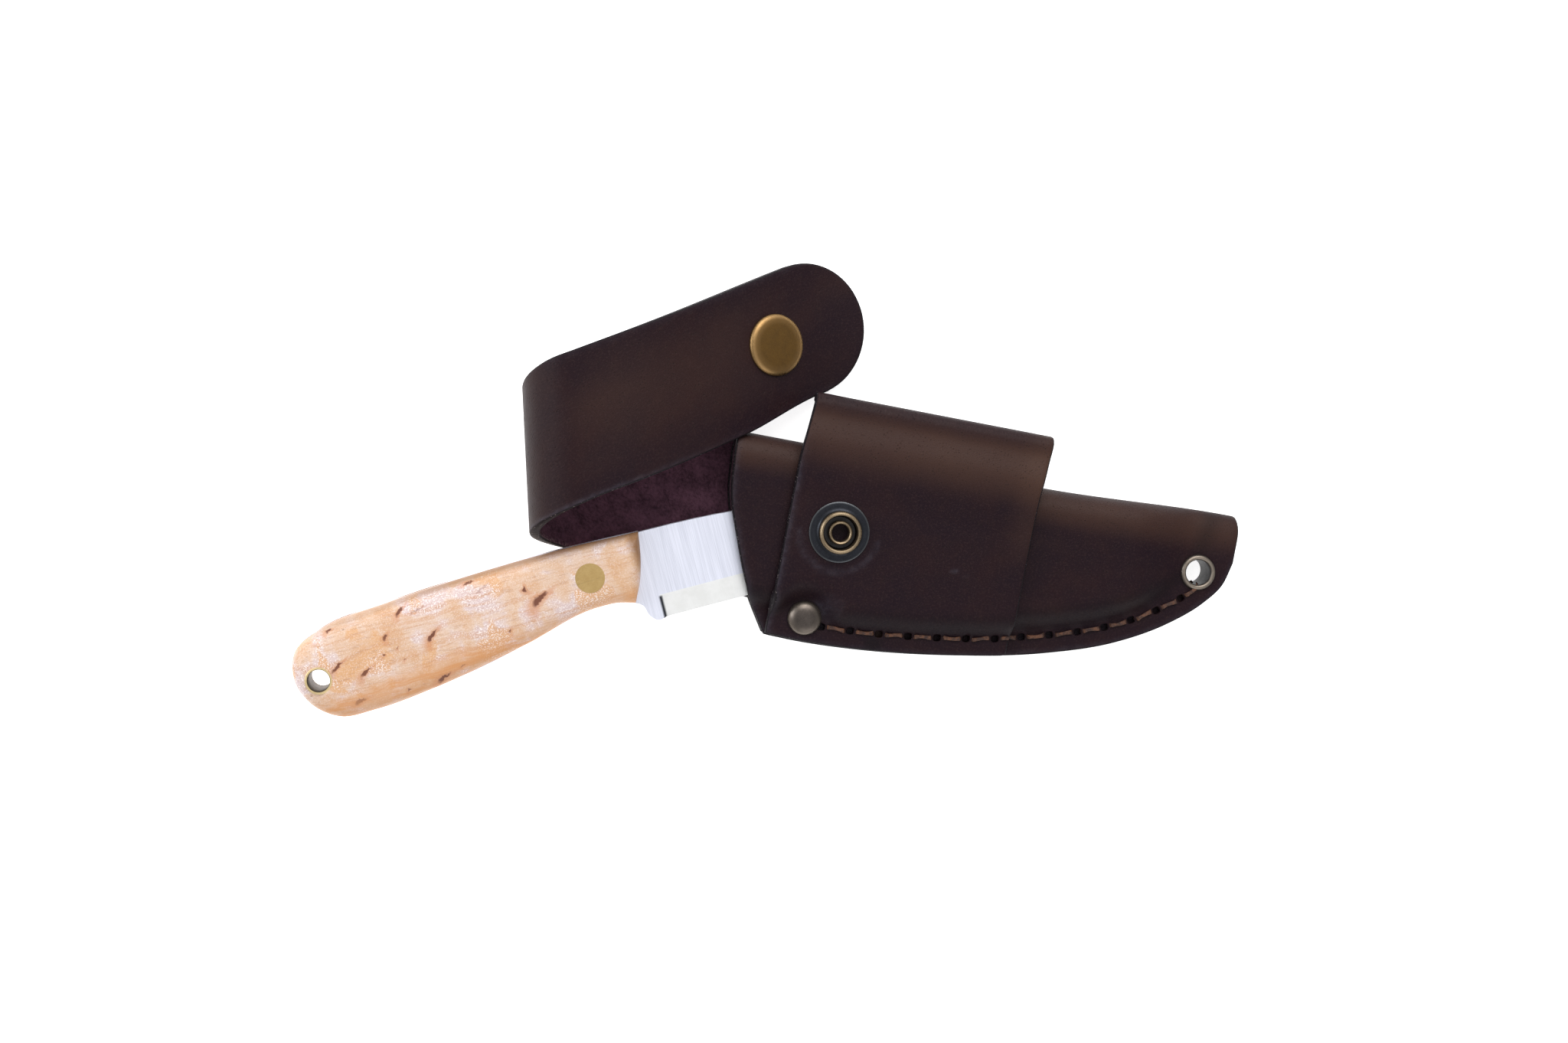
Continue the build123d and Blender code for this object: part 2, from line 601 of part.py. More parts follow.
with BuildPart() as blade:
    for side in (1, -1):
        with BuildSketch(KNIFE):
            add(ground_face(0))
        with BuildSketch(KNIFE.offset(side * HALF_BLADE)):
            add(ground_face(BEVEL_W))
        loft(ruled=True)
    with BuildSketch(KNIFE.offset(-HALF_BLADE)):
        with BuildLine():
            choil = Spline((HEEL_X, EDGE_Y), (1.9, -13.4), (-0.4, -11.2), (-4.5, -7.0),
                           tangents=[(-1, -0.2), (-1, 0.4)])
            heel = Line(choil @ 1, (-10, -5))
            inside = Line(heel @ 1, (-10, 8))
            back = Line(inside @ 1, (0, 9.2))
            top = Line(back @ 1, (HEEL_X, 9.2))
            Line(top @ 1, choil @ 0)
        make_face()
    extrude(amount=BLADE_T)
    with BuildSketch(KNIFE.offset(-HALF_BLADE)):
        add(handle_face())
    extrude(amount=BLADE_T)
    with Locations(KNIFE.offset(-10)):
        with Locations(BOLT_AT):
            Cylinder(BOLT_SLEEVE_R + FIT, 50, mode=Mode.SUBTRACT)
        with Locations(TUBE_AT):
            Cylinder(TUBE_R + FIT, 50, mode=Mode.SUBTRACT)
blade.part.label = "blade"
export_step(blade.part, "parts/blade.step")

for side, name in ((1, "scale_front"), (-1, "scale_back")):
    with BuildPart() as scale_part:
        for height, inset in SCALE_CROWN:
            with BuildSketch(KNIFE.offset(side * (HALF_BLADE + height * SCALE_T))):
                add(handle_face(inset))
        loft(ruled=True)
        with Locations(KNIFE):
            with Locations(BOLT_AT):
                Cylinder(BOLT_SLEEVE_R + FIT, 50, mode=Mode.SUBTRACT)
            with Locations(TUBE_AT):
                Cylinder(TUBE_R + FIT, 50, mode=Mode.SUBTRACT)
            with Locations((*BOLT_AT, side * (HALF_HANDLE + 5))):
                Cylinder(BOLT_HEAD_R + FIT, 2 * (BOLT_HEAD_T + 5), mode=Mode.SUBTRACT)
    scale_part.part.label = name
    export_step(scale_part.part, "parts/" + name + ".step")

HEAD_SEAT = HALF_HANDLE - BOLT_HEAD_T
with BuildPart() as bolt_male:
    with BuildSketch(KNIFE.offset(HEAD_SEAT)):
        with Locations(BOLT_AT):
            Circle(BOLT_HEAD_R)
    extrude(amount=BOLT_HEAD_T)
    with BuildSketch(KNIFE.offset(-HEAD_SEAT)):
        with Locations(BOLT_AT):
            Circle(BOLT_SHANK_R)
    extrude(amount=2 * HEAD_SEAT)
bolt_male.part.label = "bolt_male"
export_step(bolt_male.part, "parts/bolt_male.step")

with BuildPart() as bolt_female:
    with BuildSketch(KNIFE.offset(-HEAD_SEAT)):
        with Locations(BOLT_AT):
            Circle(BOLT_HEAD_R)
    extrude(amount=-BOLT_HEAD_T)
    with BuildSketch(KNIFE.offset(-HEAD_SEAT)):
        with Locations(BOLT_AT):
            Circle(BOLT_SLEEVE_R)
            Circle(BOLT_SHANK_R + FIT, mode=Mode.SUBTRACT)
    extrude(amount=2 * HEAD_SEAT - 0.1)
bolt_female.part.label = "bolt_female"
export_step(bolt_female.part, "parts/bolt_female.step")

with BuildPart() as lanyard_tube:
    with BuildSketch(KNIFE.offset(-HALF_HANDLE)):
        with Locations(TUBE_AT):
            Circle(TUBE_R)
            Circle(TUBE_BORE_R, mode=Mode.SUBTRACT)
    extrude(amount=2 * HALF_HANDLE)
lanyard_tube.part.label = "lanyard_tube"
export_step(lanyard_tube.part, "parts/lanyard_tube.step")
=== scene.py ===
"""Small whittling knife half drawn from its leather belt sheath: meshes, finishes, light and camera."""

import logging
import math
from dataclasses import dataclass, field
from enum import Enum
from typing import Sequence

import bmesh
import bpy
from mathutils import Matrix, Vector, noise


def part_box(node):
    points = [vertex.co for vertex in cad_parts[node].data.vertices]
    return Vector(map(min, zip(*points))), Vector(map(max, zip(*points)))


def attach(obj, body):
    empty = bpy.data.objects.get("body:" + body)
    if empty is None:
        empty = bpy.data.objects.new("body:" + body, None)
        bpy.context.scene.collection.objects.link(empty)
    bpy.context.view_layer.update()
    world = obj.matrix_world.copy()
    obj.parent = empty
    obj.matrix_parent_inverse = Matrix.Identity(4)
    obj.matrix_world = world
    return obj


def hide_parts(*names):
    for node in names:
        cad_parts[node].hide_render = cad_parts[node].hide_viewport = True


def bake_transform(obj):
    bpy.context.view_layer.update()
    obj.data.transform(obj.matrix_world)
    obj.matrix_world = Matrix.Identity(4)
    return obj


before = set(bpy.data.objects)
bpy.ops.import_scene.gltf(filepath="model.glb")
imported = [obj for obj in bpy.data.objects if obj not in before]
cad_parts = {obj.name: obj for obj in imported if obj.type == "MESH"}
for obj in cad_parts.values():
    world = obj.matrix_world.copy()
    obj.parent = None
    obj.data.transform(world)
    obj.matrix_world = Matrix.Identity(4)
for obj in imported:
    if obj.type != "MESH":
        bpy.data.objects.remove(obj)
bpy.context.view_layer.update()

MM = 0.001
LOG = logging.getLogger("whittling_knife")

Colour = tuple[float, float, float, float]
Pair = tuple[float, float]


class Slot(str, Enum):
    """Material slots of the record."""

    STEEL = "blade_steel"
    BIRCH = "birch"
    BRASS = "brass"
    OLD_BRASS = "antique_brass"
    BLACK_STEEL = "blackened_steel"
    LEATHER = "leather"
    LACE = "waxed_lace"


class Body(str, Enum):
    """Moving bodies of the model."""

    SHEATH = "sheath"
    KNIFE = "knife"
    STRAP_ROOT = "strap_root"
    STRAP_END = "strap_end"


class Side(float, Enum):
    """Which side of a leather sheet a vertex belongs to, kept in the sheet attribute."""

    GRAIN = 0.0
    CUT = 0.5
    FLESH = 1.0


def middle(node: str) -> Vector:
    """Middle of a CAD node's box in millimetres."""
    low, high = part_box(node)
    return (low + high) / 2 / MM


def lowest(node: str) -> Vector:
    """Lowest corner of a CAD node's box in millimetres."""
    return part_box(node)[0] / MM


def highest(node: str) -> Vector:
    """Highest corner of a CAD node's box in millimetres."""
    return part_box(node)[1] / MM


def ease(value: float, start: float, end: float) -> float:
    """Smooth step from 0 at start to 1 at end.

    Args:
        value: Place to read the step at.
        start: Where the step leaves 0.
        end: Where the step reaches 1.

    Returns:
        Height of the step, from 0 to 1.
    """
    share = min(max((value - start) / (end - start), 0.0), 1.0)
    return share * share * (3 - 2 * share)


def smooth_line(points: Sequence[Sequence[float]], count: int, closed: bool = False) -> list[Vector]:
    """Evenly spaced points on a smooth line through the given ones.

    Args:
        points: Points that the line passes through.
        count: Number of intervals between the points returned.
        closed: Whether the line returns to its first point.

    Returns:
        count + 1 points, or count points for a closed line.
    """
    knots = [Vector(point) for point in points]
    if closed:
        knots = [knots[-1], *knots, knots[0], knots[1]]
    else:
        knots = [2 * knots[0] - knots[1], *knots, 2 * knots[-1] - knots[-2]]
    dense: list[Vector] = []
    for first, start, end, last in zip(knots, knots[1:], knots[2:], knots[3:]):
        before, span, after = (start - first).length, (end - start).length, (last - end).length
        leave = ((start - first) / before * span + (end - start) / span * before) / (before + span)
        arrive = ((end - start) / span * after + (last - end) / after * span) / (span + after)
        for step in range(20):
            t = step / 20
            dense.append(
                start * (2 * t**3 - 3 * t**2 + 1)
                + leave * span * (t**3 - 2 * t**2 + t)
                + end * (3 * t**2 - 2 * t**3)
                + arrive * span * (t**3 - t**2)
            )
    dense.append(knots[-2])
    runs = [(b - a).length for a, b in zip(dense, dense[1:])]
    total, travelled, index = sum(runs), 0.0, 0
    spaced: list[Vector] = []
    for step in range(count if closed else count + 1):
        wanted = total * step / count
        while index < len(runs) - 1 and travelled + runs[index] < wanted:
            travelled += runs[index]
            index += 1
        share = (wanted - travelled) / runs[index]
        spaced.append(dense[index].lerp(dense[index + 1], min(share, 1.0)))
    return spaced


# ------------------------------------------------------------------ shader tools
class Wire:
    """A socket of a shader that arithmetic can be written with."""

    def __init__(self, shader: "Shader", socket: bpy.types.NodeSocket) -> None:
        """Keeps the shader and the socket."""
        self.shader = shader
        self.socket = socket

    def _maths(self, operation: str, first: "Wire | float", second: "Wire | float") -> "Wire":
        """Math node of two values."""
        return self.shader.node("ShaderNodeMath", {"operation": operation}, {0: first, 1: second})

    def __add__(self, other: "Wire | float") -> "Wire":
        """Sum."""
        return self._maths("ADD", self, other)

    __radd__ = __add__

    def __sub__(self, other: "Wire | float") -> "Wire":
        """Difference."""
        return self._maths("SUBTRACT", self, other)

    def __rsub__(self, other: "Wire | float") -> "Wire":
        """Difference the other way round."""
        return self._maths("SUBTRACT", other, self)

    def __mul__(self, other: "Wire | float") -> "Wire":
        """Product."""
        return self._maths("MULTIPLY", self, other)

    __rmul__ = __mul__

    def __truediv__(self, other: "Wire | float") -> "Wire":
        """Quotient."""
        return self._maths("DIVIDE", self, other)

    def __pow__(self, other: "Wire | float") -> "Wire":
        """Power."""
        return self._maths("POWER", self, other)

    def __abs__(self) -> "Wire":
        """Absolute value."""
        return self._maths("ABSOLUTE", self, 0.0)

    def most(self, other: "Wire | float") -> "Wire":
        """The larger of two values."""
        return self._maths("MAXIMUM", self, other)

    def least(self, other: "Wire | float") -> "Wire":
        """The smaller of two values."""
        return self._maths("MINIMUM", self, other)

    def step(self, start: float, end: float) -> "Wire":
        """Smooth step from 0 at start to 1 at end.

        Args:
            start: Where the step leaves 0.
            end: Where the step reaches 1.

        Returns:
            The step's value.
        """
        return self.shader.node(
            "ShaderNodeMapRange",
            {"interpolation_type": "SMOOTHSTEP"},
            {"Value": self, "From Min": start, "From Max": end},
        )


class Shader:
    """A material and the few kinds of node that its finish is written with."""

    def __init__(self, name: str) -> None:
        """Makes an empty node material.

        Args:
            name: Name of the material.
        """
        self.material = bpy.data.materials.new(name)
        self.material.use_nodes = True
        self.tree = self.material.node_tree
        self.surface = self.tree.nodes["Principled BSDF"]

    def node(
        self,
        kind: str,
        settings: dict[str, object] | None = None,
        inputs: dict[str | int, object] | None = None,
        output: int | str = 0,
    ) -> Wire:
        """Adds one node: its settings first, then its sockets.

        Args:
            kind: Node type.
            settings: Properties of the node; "stops" are a ramp's places and colours.
            inputs: Values or wires for its sockets, by name or number.
            output: Socket that is returned.

        Returns:
            The chosen output.
        """
        made = self.tree.nodes.new(kind)
        for key, value in (settings or {}).items():
            if key == "stops":
                ramp = made.color_ramp
                while len(ramp.elements) < len(value):
                    ramp.elements.new(1.0)
                for element, (place, colour) in zip(ramp.elements, value):
                    element.position = place
                    element.color = colour
            else:
                setattr(made, key, value)
        for key, value in (inputs or {}).items():
            if isinstance(value, Wire):
                self.tree.links.new(value.socket, made.inputs[key])
            else:
                made.inputs[key].default_value = value
        return Wire(self, made.outputs[output])

    def set(self, **values: object) -> None:
        """Sets sockets of the surface; words are joined by underscores.

        Args:
            values: Values or wires, such as Base_Color.
        """
        for key, value in values.items():
            socket = self.surface.inputs[key.replace("_", " ")]
            if isinstance(value, Wire):
                self.tree.links.new(value.socket, socket)
            else:
                socket.default_value = value

    def place(self) -> Wire:
        """Place on the piece at rest, in metres."""
        return self.node("ShaderNodeTexCoord", output="Object")

    def attribute(self, name: str) -> Wire:
        """Vector kept per vertex under a name."""
        return self.node("ShaderNodeAttribute", {"attribute_name": name}, output="Vector")

    def parts(self, vector: Wire) -> tuple[Wire, Wire, Wire]:
        """The three numbers of a vector."""
        split = self.node("ShaderNodeSeparateXYZ", inputs={0: vector})
        outputs = split.socket.node.outputs
        return Wire(self, outputs[0]), Wire(self, outputs[1]), Wire(self, outputs[2])

    def stretch(self, vector: Wire, scale: Sequence[float], turn: float = 0.0,
            shift: Sequence[float] = (0, 0, 0)) -> Wire:
        """Vector turned about Z, moved and scaled.

        Args:
            vector: Vector to map.
            scale: Factor on each axis, applied first.
            turn: Turn about Z in degrees.
            shift: Move in metres after the turn.

        Returns:
            The mapped vector.
        """
        turned = self.node(
            "ShaderNodeMapping", {"vector_type": "POINT"},
            {"Vector": vector, "Location": tuple(shift), "Rotation": (0, 0, math.radians(turn))},
        )
        return self.node("ShaderNodeVectorMath", {"operation": "MULTIPLY"}, {0: turned, 1: tuple(scale)})

    def noise(self, vector: Wire, scale: float, detail: float = 3.0, rough: float = 0.5,
            bend: float = 0.0) -> Wire:
        """Fractal noise value.

        Args:
            vector: Place in the pattern.
            scale: Features for each unit of the vector.
            detail: Octaves.
            rough: Weight of the fine octaves.
            bend: Distortion.

        Returns:
            Value from 0 to 1.
        """
        return self.node(
            "ShaderNodeTexNoise", {"noise_dimensions": "3D"},
            {"Vector": vector, "Scale": scale, "Detail": detail, "Roughness": rough, "Distortion": bend},
        )

    def cells(self, vector: Wire, scale: float, feature: str = "F1", output: str = "Distance") -> Wire:
        """Cell pattern.

        Args:
            vector: Place in the pattern.
            scale: Cells for each unit of the vector.
            feature: Which distance is read.
            output: Distance or Color.

        Returns:
            The chosen output.
        """
        return self.node(
            "ShaderNodeTexVoronoi", {"feature": feature}, {"Vector": vector, "Scale": scale}, output
        )

    def mix(self, share: Wire | float, first: Wire | Colour, second: Wire | Colour) -> Wire:
        """Colour between two colours."""
        return self.node("ShaderNodeMix", {"data_type": "RGBA"}, {0: share, 6: first, 7: second}, 2)

    def ramp(self, value: Wire, *stops: tuple[float, Colour]) -> Wire:
        """Colour read from a ramp."""
        return self.node("ShaderNodeValToRGB", {"stops": stops}, {"Fac": value})

    def bump(self, height: Wire, depth: float, strength: float = 1.0) -> Wire:
        """Surface normal from a height.

        Args:
            height: Height, from 0 to 1.
            depth: Real depth of the relief in metres.
            strength: Share of the relief that shows.

        Returns:
            Normal for the surface.
        """
        return self.node(
            "ShaderNodeBump", inputs={"Strength": strength, "Distance": depth, "Height": height},
            output="Normal"
        )


# ------------------------------------------------------------------ finishes
@dataclass(frozen=True)
class LeatherFinish:
    """Oiled vegetable-tanned leather: grain face, burnished cut edge and suede back in one material."""

    name: str = "oiled_leather"
    deep: Colour = (0.0088, 0.0030, 0.0064, 1)
    brown: Colour = (0.0180, 0.0056, 0.0060, 1)
    # rubbed: lighter brown of the random mottle and of the fold bands, which are partly rubbed wear and
    # partly painted highlight
    rubbed: Colour = (0.054, 0.027, 0.019, 1)
    light: Colour = (0.040, 0.021, 0.021, 1)
    scuff: Colour = (0.105, 0.105, 0.140, 1)
    edge: Colour = (0.0075, 0.0050, 0.0070, 1)
    suede: Colour = (0.120, 0.054, 0.080, 1)
    suede_dark: Colour = (0.0340, 0.0150, 0.0230, 1)
    fibre: Colour = (0.24, 0.19, 0.18, 1)
    # black: the grain's pores, and the dark tone's painted shade and glue smudge
    black: Colour = (0.0035, 0.0028, 0.0035, 1)

    def make(self) -> bpy.types.Material:
        """Builds the material. It reads the vertex attributes sheet and tone.

        Returns:
            The material.
        """
        shader = Shader(self.name)
        sheet = shader.attribute("sheet")
        along, across, side = shader.parts(sheet)
        # tone: warm marks the fold bands, partly rubbed wear and partly painted highlight; scuffed marks worn
        # edges and marks; dark marks painted shade on the seam ramps and in the punched holes, and the wrap's
        # glue smudge
        warm, scuffed, dark = shader.parts(shader.attribute("tone"))
        flat = shader.node("ShaderNodeCombineXYZ", inputs={0: along, 1: across, 2: side * 0.05})
        cut = 1 - abs(side - 0.5).step(0.12, 0.42)
        flesh = side.step(0.72, 0.96)

        cloud = shader.noise(flat, 75, 4, 0.55)
        mottle = shader.noise(flat, 420, 3, 0.6)
        pores = shader.cells(flat, 1500)
        crease = shader.noise(shader.stretch(flat, (1, 2.2, 1)), 1700, 3, 0.62)
        grain = (1 - pores.step(0.0, 0.42)) * mottle.step(0.35, 0.7)

        face = shader.mix((cloud.step(0.30, 0.85) * 0.6 + warm * 0.8).least(1.0), self.deep, self.brown)
        face = shader.mix((mottle - 0.5).most(0.0) * 0.35, face, self.rubbed)
        # fold bands: partly rubbed wear, partly painted highlight
        face = shader.mix((warm * (0.7 + cloud * 0.4)).least(1.0), face, self.rubbed)
        speckle = shader.noise(flat, 1900, 3, 0.7)
        face = shader.mix(speckle.step(0.48, 0.74) * 0.45, face, self.light)
        face = shader.mix(grain * 0.6, face, self.black)
        haze = scuffed * (0.16 + mottle.step(0.38, 0.66) * 0.26)
        face = shader.mix(haze.least(0.8), face, self.scuff)
        # the dark tone: painted shade on the seam ramps and in the holes, and the wrap's glue smudge
        face = shader.mix(dark.least(1.0), face, self.black)

        nap = shader.noise(flat, 1500, 4, 0.7)
        blotch = shader.noise(flat, 260, 4, 0.65)
        back = shader.mix((nap * 0.6 + blotch * 0.7).step(0.42, 0.88), self.suede_dark, self.suede)
        back = shader.mix((scuffed * nap.step(0.45, 0.6)).least(1.0), back, self.fibre)

        fray = shader.noise(shader.stretch(shader.place(), (1, 1, 1)), 1900, 3, 0.6).step(0.60, 0.72)
        rim = shader.mix(fray * 0.35, self.edge, self.scuff)
        rim = shader.mix((scuffed * fray * 1.3).least(1.0), rim, self.fibre)

        colour = shader.mix(flesh, face, back)
        colour = shader.mix(cut * (1 - flesh), colour, rim)
        relief = ((1 - grain) * 0.5 + crease * 0.35 + mottle * 0.3) * (1 - flesh) + nap * 1.5 * flesh
        shader.set(
            Base_Color=colour,
            Roughness=(0.44 + mottle * 0.14 + grain * 0.2 - warm * 0.05) * (1 - flesh) + flesh * 0.93,
            Specular_IOR_Level=0.12,
            Normal=shader.bump(relief, 0.00022, 0.62),
        )
        return shader.material


@dataclass(frozen=True)
class LaceFinish:
    """Waxed brown leather lace."""

    name: str = "waxed_lace"
    deep: Colour = (0.030, 0.010, 0.006, 1)
    light: Colour = (0.125, 0.047, 0.020, 1)
    pale: Colour = (0.230, 0.115, 0.085, 1)

    def make(self) -> bpy.types.Material:
        """Builds the material."""
        shader = Shader(self.name)
        place = shader.place()
        _, _, dark = shader.parts(shader.attribute("tone"))
        body = shader.noise(place, 700, 4, 0.6)
        fibre = shader.noise(shader.stretch(place, (0.5, 2.4, 1)), 2600, 3, 0.6)
        colour = shader.mix(body.step(0.35, 0.68), self.deep, self.light)
        colour = shader.mix(fibre.step(0.56, 0.78) * 0.6, colour, self.pale)
        # painted shade where the lace dives into its holes
        colour = shader.mix(dark, colour, (0.012, 0.005, 0.004, 1))
        shader.set(
            Base_Color=colour,
            Roughness=0.5 + fibre * 0.25,
            Normal=shader.bump(fibre + body * 0.5, 0.0003, 0.8),
        )
        return shader.material


@dataclass(frozen=True)
class Fleck:
    """A dark burl mark in the wood, in the knife's own frame."""

    at: Pair
    length: float
    width: float
    turn: float
    depth: float = 1.0


@dataclass(frozen=True)
class BirchFinish:
    """Pale curly birch under oil, with dark flecks, amber ends and silky cross waves."""

    heading: float
    origin: Pair
    name: str = "curly_birch"
    flecks: tuple[Fleck, ...] = (
        Fleck((-25.4, -0.1), 5.2, 1.9, 27), Fleck((-28.5, 3.0), 1.7, 1.2, 85),
        Fleck((-59.2, 5.4), 3.0, 0.9, 39),
        Fleck((-54.6, 4.8), 4.6, 0.6, 12, 0.4), Fleck((-41.2, 8.0), 2.8, 0.6, 3, 0.85),
        Fleck((-53.0, -2.2), 3.8, 1.2, 37), Fleck((-64.0, 0.3), 2.0, 1.2, 48, 0.85),
        Fleck((-65.4, -3.9), 0.9, 0.8, 0, 0.8), Fleck((-77.0, -3.8), 4.2, 1.0, 32, 0.9),
        Fleck((-70.6, -6.7), 4.0, 1.1, 29, 0.9), Fleck((-76.9, 5.2), 2.0, 0.7, 13, 0.9),
        Fleck((-52.9, -13.1), 4.0, 1.3, 20), Fleck((-61.6, -13.7), 1.0, 0.8, 0, 0.7),
        Fleck((-73.6, -13.3), 3.6, 1.2, 12, 0.5), Fleck((-34.4, -6.1), 1.2, 0.9, 60, 0.7),
        Fleck((-61.7, -3.1), 1.0, 0.5, 50, 0.6), Fleck((-60.7, -6.3), 0.9, 0.5, 20, 0.6),
        Fleck((-38.4, 5.8), 4.2, 0.7, 24, 0.3), Fleck((-47.6, -11.4), 1.5, 0.6, 15, 0.45),
    )

    def make(self) -> bpy.types.Material:
        """Builds the material.

        Returns:
            The material.
        """
        shader = Shader(self.name)
        turn = math.radians(-self.heading)
        x, y = self.origin
        shift = (
            -(x * math.cos(turn) - y * math.sin(turn)) * MM,
            -(x * math.sin(turn) + y * math.cos(turn)) * MM,
            0.0,
        )
        wood = shader.stretch(shader.place(), (1, 1, 1), -self.heading, shift)
        along, across, depth = shader.parts(wood)

        drift = shader.noise(wood, 70, 3, 0.5)
        bent = shader.node("ShaderNodeCombineXYZ", inputs={
            0: along + across * 0.16 + drift * 0.010, 1: across + drift * 0.005, 2: depth})
        curl = shader.noise(shader.stretch(bent, (1.0, 0.20, 0.6)), 165, 3, 0.5, 0.2)
        patch = shader.noise(shader.stretch(bent, (0.55, 0.9, 0.8)), 120, 4, 0.6, 0.5)
        streak = shader.noise(shader.stretch(bent, (0.05, 1, 1)), 620, 4, 0.65)
        hair = shader.noise(shader.stretch(wood, (0.10, 1, 1)), 2300, 3, 0.6)
        silk = shader.noise(wood, 3000, 2, 0.7)

        colour = shader.ramp(
            curl * 0.45 + patch * 0.35 + streak * 0.20,
            (0.38, (0.585, 0.345, 0.200, 1)),
            (0.45, (0.635, 0.440, 0.315, 1)),
            (0.52, (0.650, 0.490, 0.400, 1)),
            (0.60, (0.690, 0.560, 0.525, 1)),
        )
        blush = (patch * 0.6 + curl * 0.4).step(0.47, 0.55)
        colour = shader.mix(blush * 0.90, colour, (0.600, 0.470, 0.465, 1))
        amber = shader.noise(shader.stretch(bent, (0.8, 0.8, 1)), 105, 3, 0.55, 0.4)
        gold = (amber * 0.6 + curl * 0.4).step(0.51, 0.57)
        colour = shader.mix(gold * 0.85, colour, (0.620, 0.340, 0.160, 1))
        colour = shader.mix(streak.step(0.50, 0.60) * 0.50, colour, (0.540, 0.270, 0.125, 1))
        colour = shader.mix(hair.step(0.52, 0.66) * 0.45, colour, (0.430, 0.240, 0.155, 1))
        colour = shader.mix(silk.step(0.50, 0.62) * (blush * 0.55 + 0.25), colour, (0.860, 0.790, 0.760, 1))

        # amber along the lower side, the top edge and the front end, where the oil has darkened
        belly = 1 - (across - along * 0.105 + drift * 0.004).step(-0.0040, 0.0005)
        colour = shader.mix(belly * (0.40 + streak.step(0.40, 0.60) * 0.45), colour, (0.600, 0.270, 0.095, 1))
        front = (along + across * 0.17).step(-0.0014, 0.0022)
        rear = along.step(-0.070, -0.045)
        arch = (across + (along + 0.016) * (along + 0.016) * 0.952).step(0.0080, 0.0098)
        crown = arch * (0.45 + rear * 0.40)
        neck = along.step(-0.017, -0.004) * (1 - abs(across).step(0.0, 0.013)) * 0.25
        colour = shader.mix(neck, colour, (0.560, 0.330, 0.160, 1))
        colour = shader.mix(front.most(crown).least(0.9), colour, (0.230, 0.105, 0.032, 1))

        mark: Wire | float = 0.0
        halo: Wire | float = 0.0
        wobble = (shader.noise(wood, 1100, 2, 0.5) - 0.5) * 0.0012
        for fleck in self.flecks:
            angle = math.radians(fleck.turn)
            dx = along - fleck.at[0] * MM
            dy = across - fleck.at[1] * MM
            forth = (dx * math.cos(angle) + dy * math.sin(angle) + wobble) / (fleck.length * MM / 2)
            aside = (dy * math.cos(angle) - dx * math.sin(angle) + wobble) / (fleck.width * MM / 2)
            narrow = aside * (1.25 + forth * 0.55).most(0.6) + (forth * forth).least(1.6) * 0.5
            reach = forth * forth + narrow * narrow
            mark = (1 - reach.step(0.20, 1.25)) * fleck.depth + mark
            halo = (1 - reach.step(0.6, 6.0)) * 0.55 * fleck.depth + halo
        tiny = shader.cells(shader.stretch(wood, (1, 1.6, 1)), 260)
        chosen = shader.cells(shader.stretch(wood, (1, 1.6, 1)), 260, output="Color")
        pick, _, _ = shader.parts(chosen)
        pin = (1 - tiny.step(0.03, 0.11)) * pick.step(0.88, 0.94)
        colour = shader.mix(halo.least(0.78), colour, (0.520, 0.205, 0.085, 1))
        colour = shader.mix((mark + pin * 0.5).least(0.93), colour, (0.125, 0.032, 0.013, 1))

        shader.set(
            Base_Color=colour,
            Roughness=0.42 + streak * 0.12 + silk * 0.08,
            Specular_IOR_Level=0.4,
            Coat_Weight=0.10,
            Coat_Roughness=0.25,
            Normal=shader.bump(streak * 0.4 + silk * 0.3 - mark * 1.2, 0.00012, 0.6),
        )
        return shader.material


@dataclass(frozen=True)
class SteelFinish:
    """Ground stainless steel, brushed across the blade, with a paler bevel."""

    heading: float
    origin: Pair
    name: str = "brushed_steel"
    heel: float = 3.6
    bevel_top: float = -7.3
    flat: Colour = (0.850, 0.870, 0.980, 1)
    bright: Colour = (0.900, 0.905, 0.900, 1)
    dull: Colour = (0.690, 0.710, 0.810, 1)

    def make(self) -> bpy.types.Material:
        """Builds the material.

        Returns:
            The material.
        """
        shader = Shader(self.name)
        turn = math.radians(-self.heading)
        x, y = self.origin
        shift = (
            -(x * math.cos(turn) - y * math.sin(turn)) * MM,
            -(x * math.sin(turn) + y * math.cos(turn)) * MM,
            0.0,
        )
        steel = shader.stretch(shader.place(), (1, 1, 1), -self.heading, shift)
        along, across, _ = shader.parts(steel)
        fine = shader.noise(shader.stretch(steel, (1, 0.012, 0.012)), 5600, 3, 0.6)
        broad = shader.noise(shader.stretch(steel, (1, 0.03, 0.03)), 800, 2, 0.5)
        plunge = 1 - abs(along - self.heel * MM).step(0.0001, 0.0007)
        bevel = (1 - (across - self.bevel_top * MM).step(-0.0001, 0.0001)) * along.step(0.0034, 0.0037)
        cloudy = shader.noise(steel, 260, 3, 0.6)
        rubbed = shader.mix((fine * 0.75 + broad * 0.25).step(0.30, 0.70), self.dull, self.flat)
        satin = shader.mix(cloudy.step(0.35, 0.7) * 0.6, self.bright, (0.800, 0.805, 0.790, 1))
        colour = shader.mix(bevel, rubbed, satin)
        # painted shade: a near-black line at the plunge, below the bevel's top, where the grind steps down
        below = 1 - across.step((self.bevel_top - 0.6) * MM, self.bevel_top * MM)
        colour = shader.mix(plunge * below, colour, (0.030, 0.033, 0.042, 1))
        shader.set(
            Base_Color=colour,
            Metallic=0.82,
            Roughness=0.38 + fine * 0.12 - bevel * 0.06,
            Normal=shader.bump(fine, 0.00005, 0.35),
        )
        return shader.material


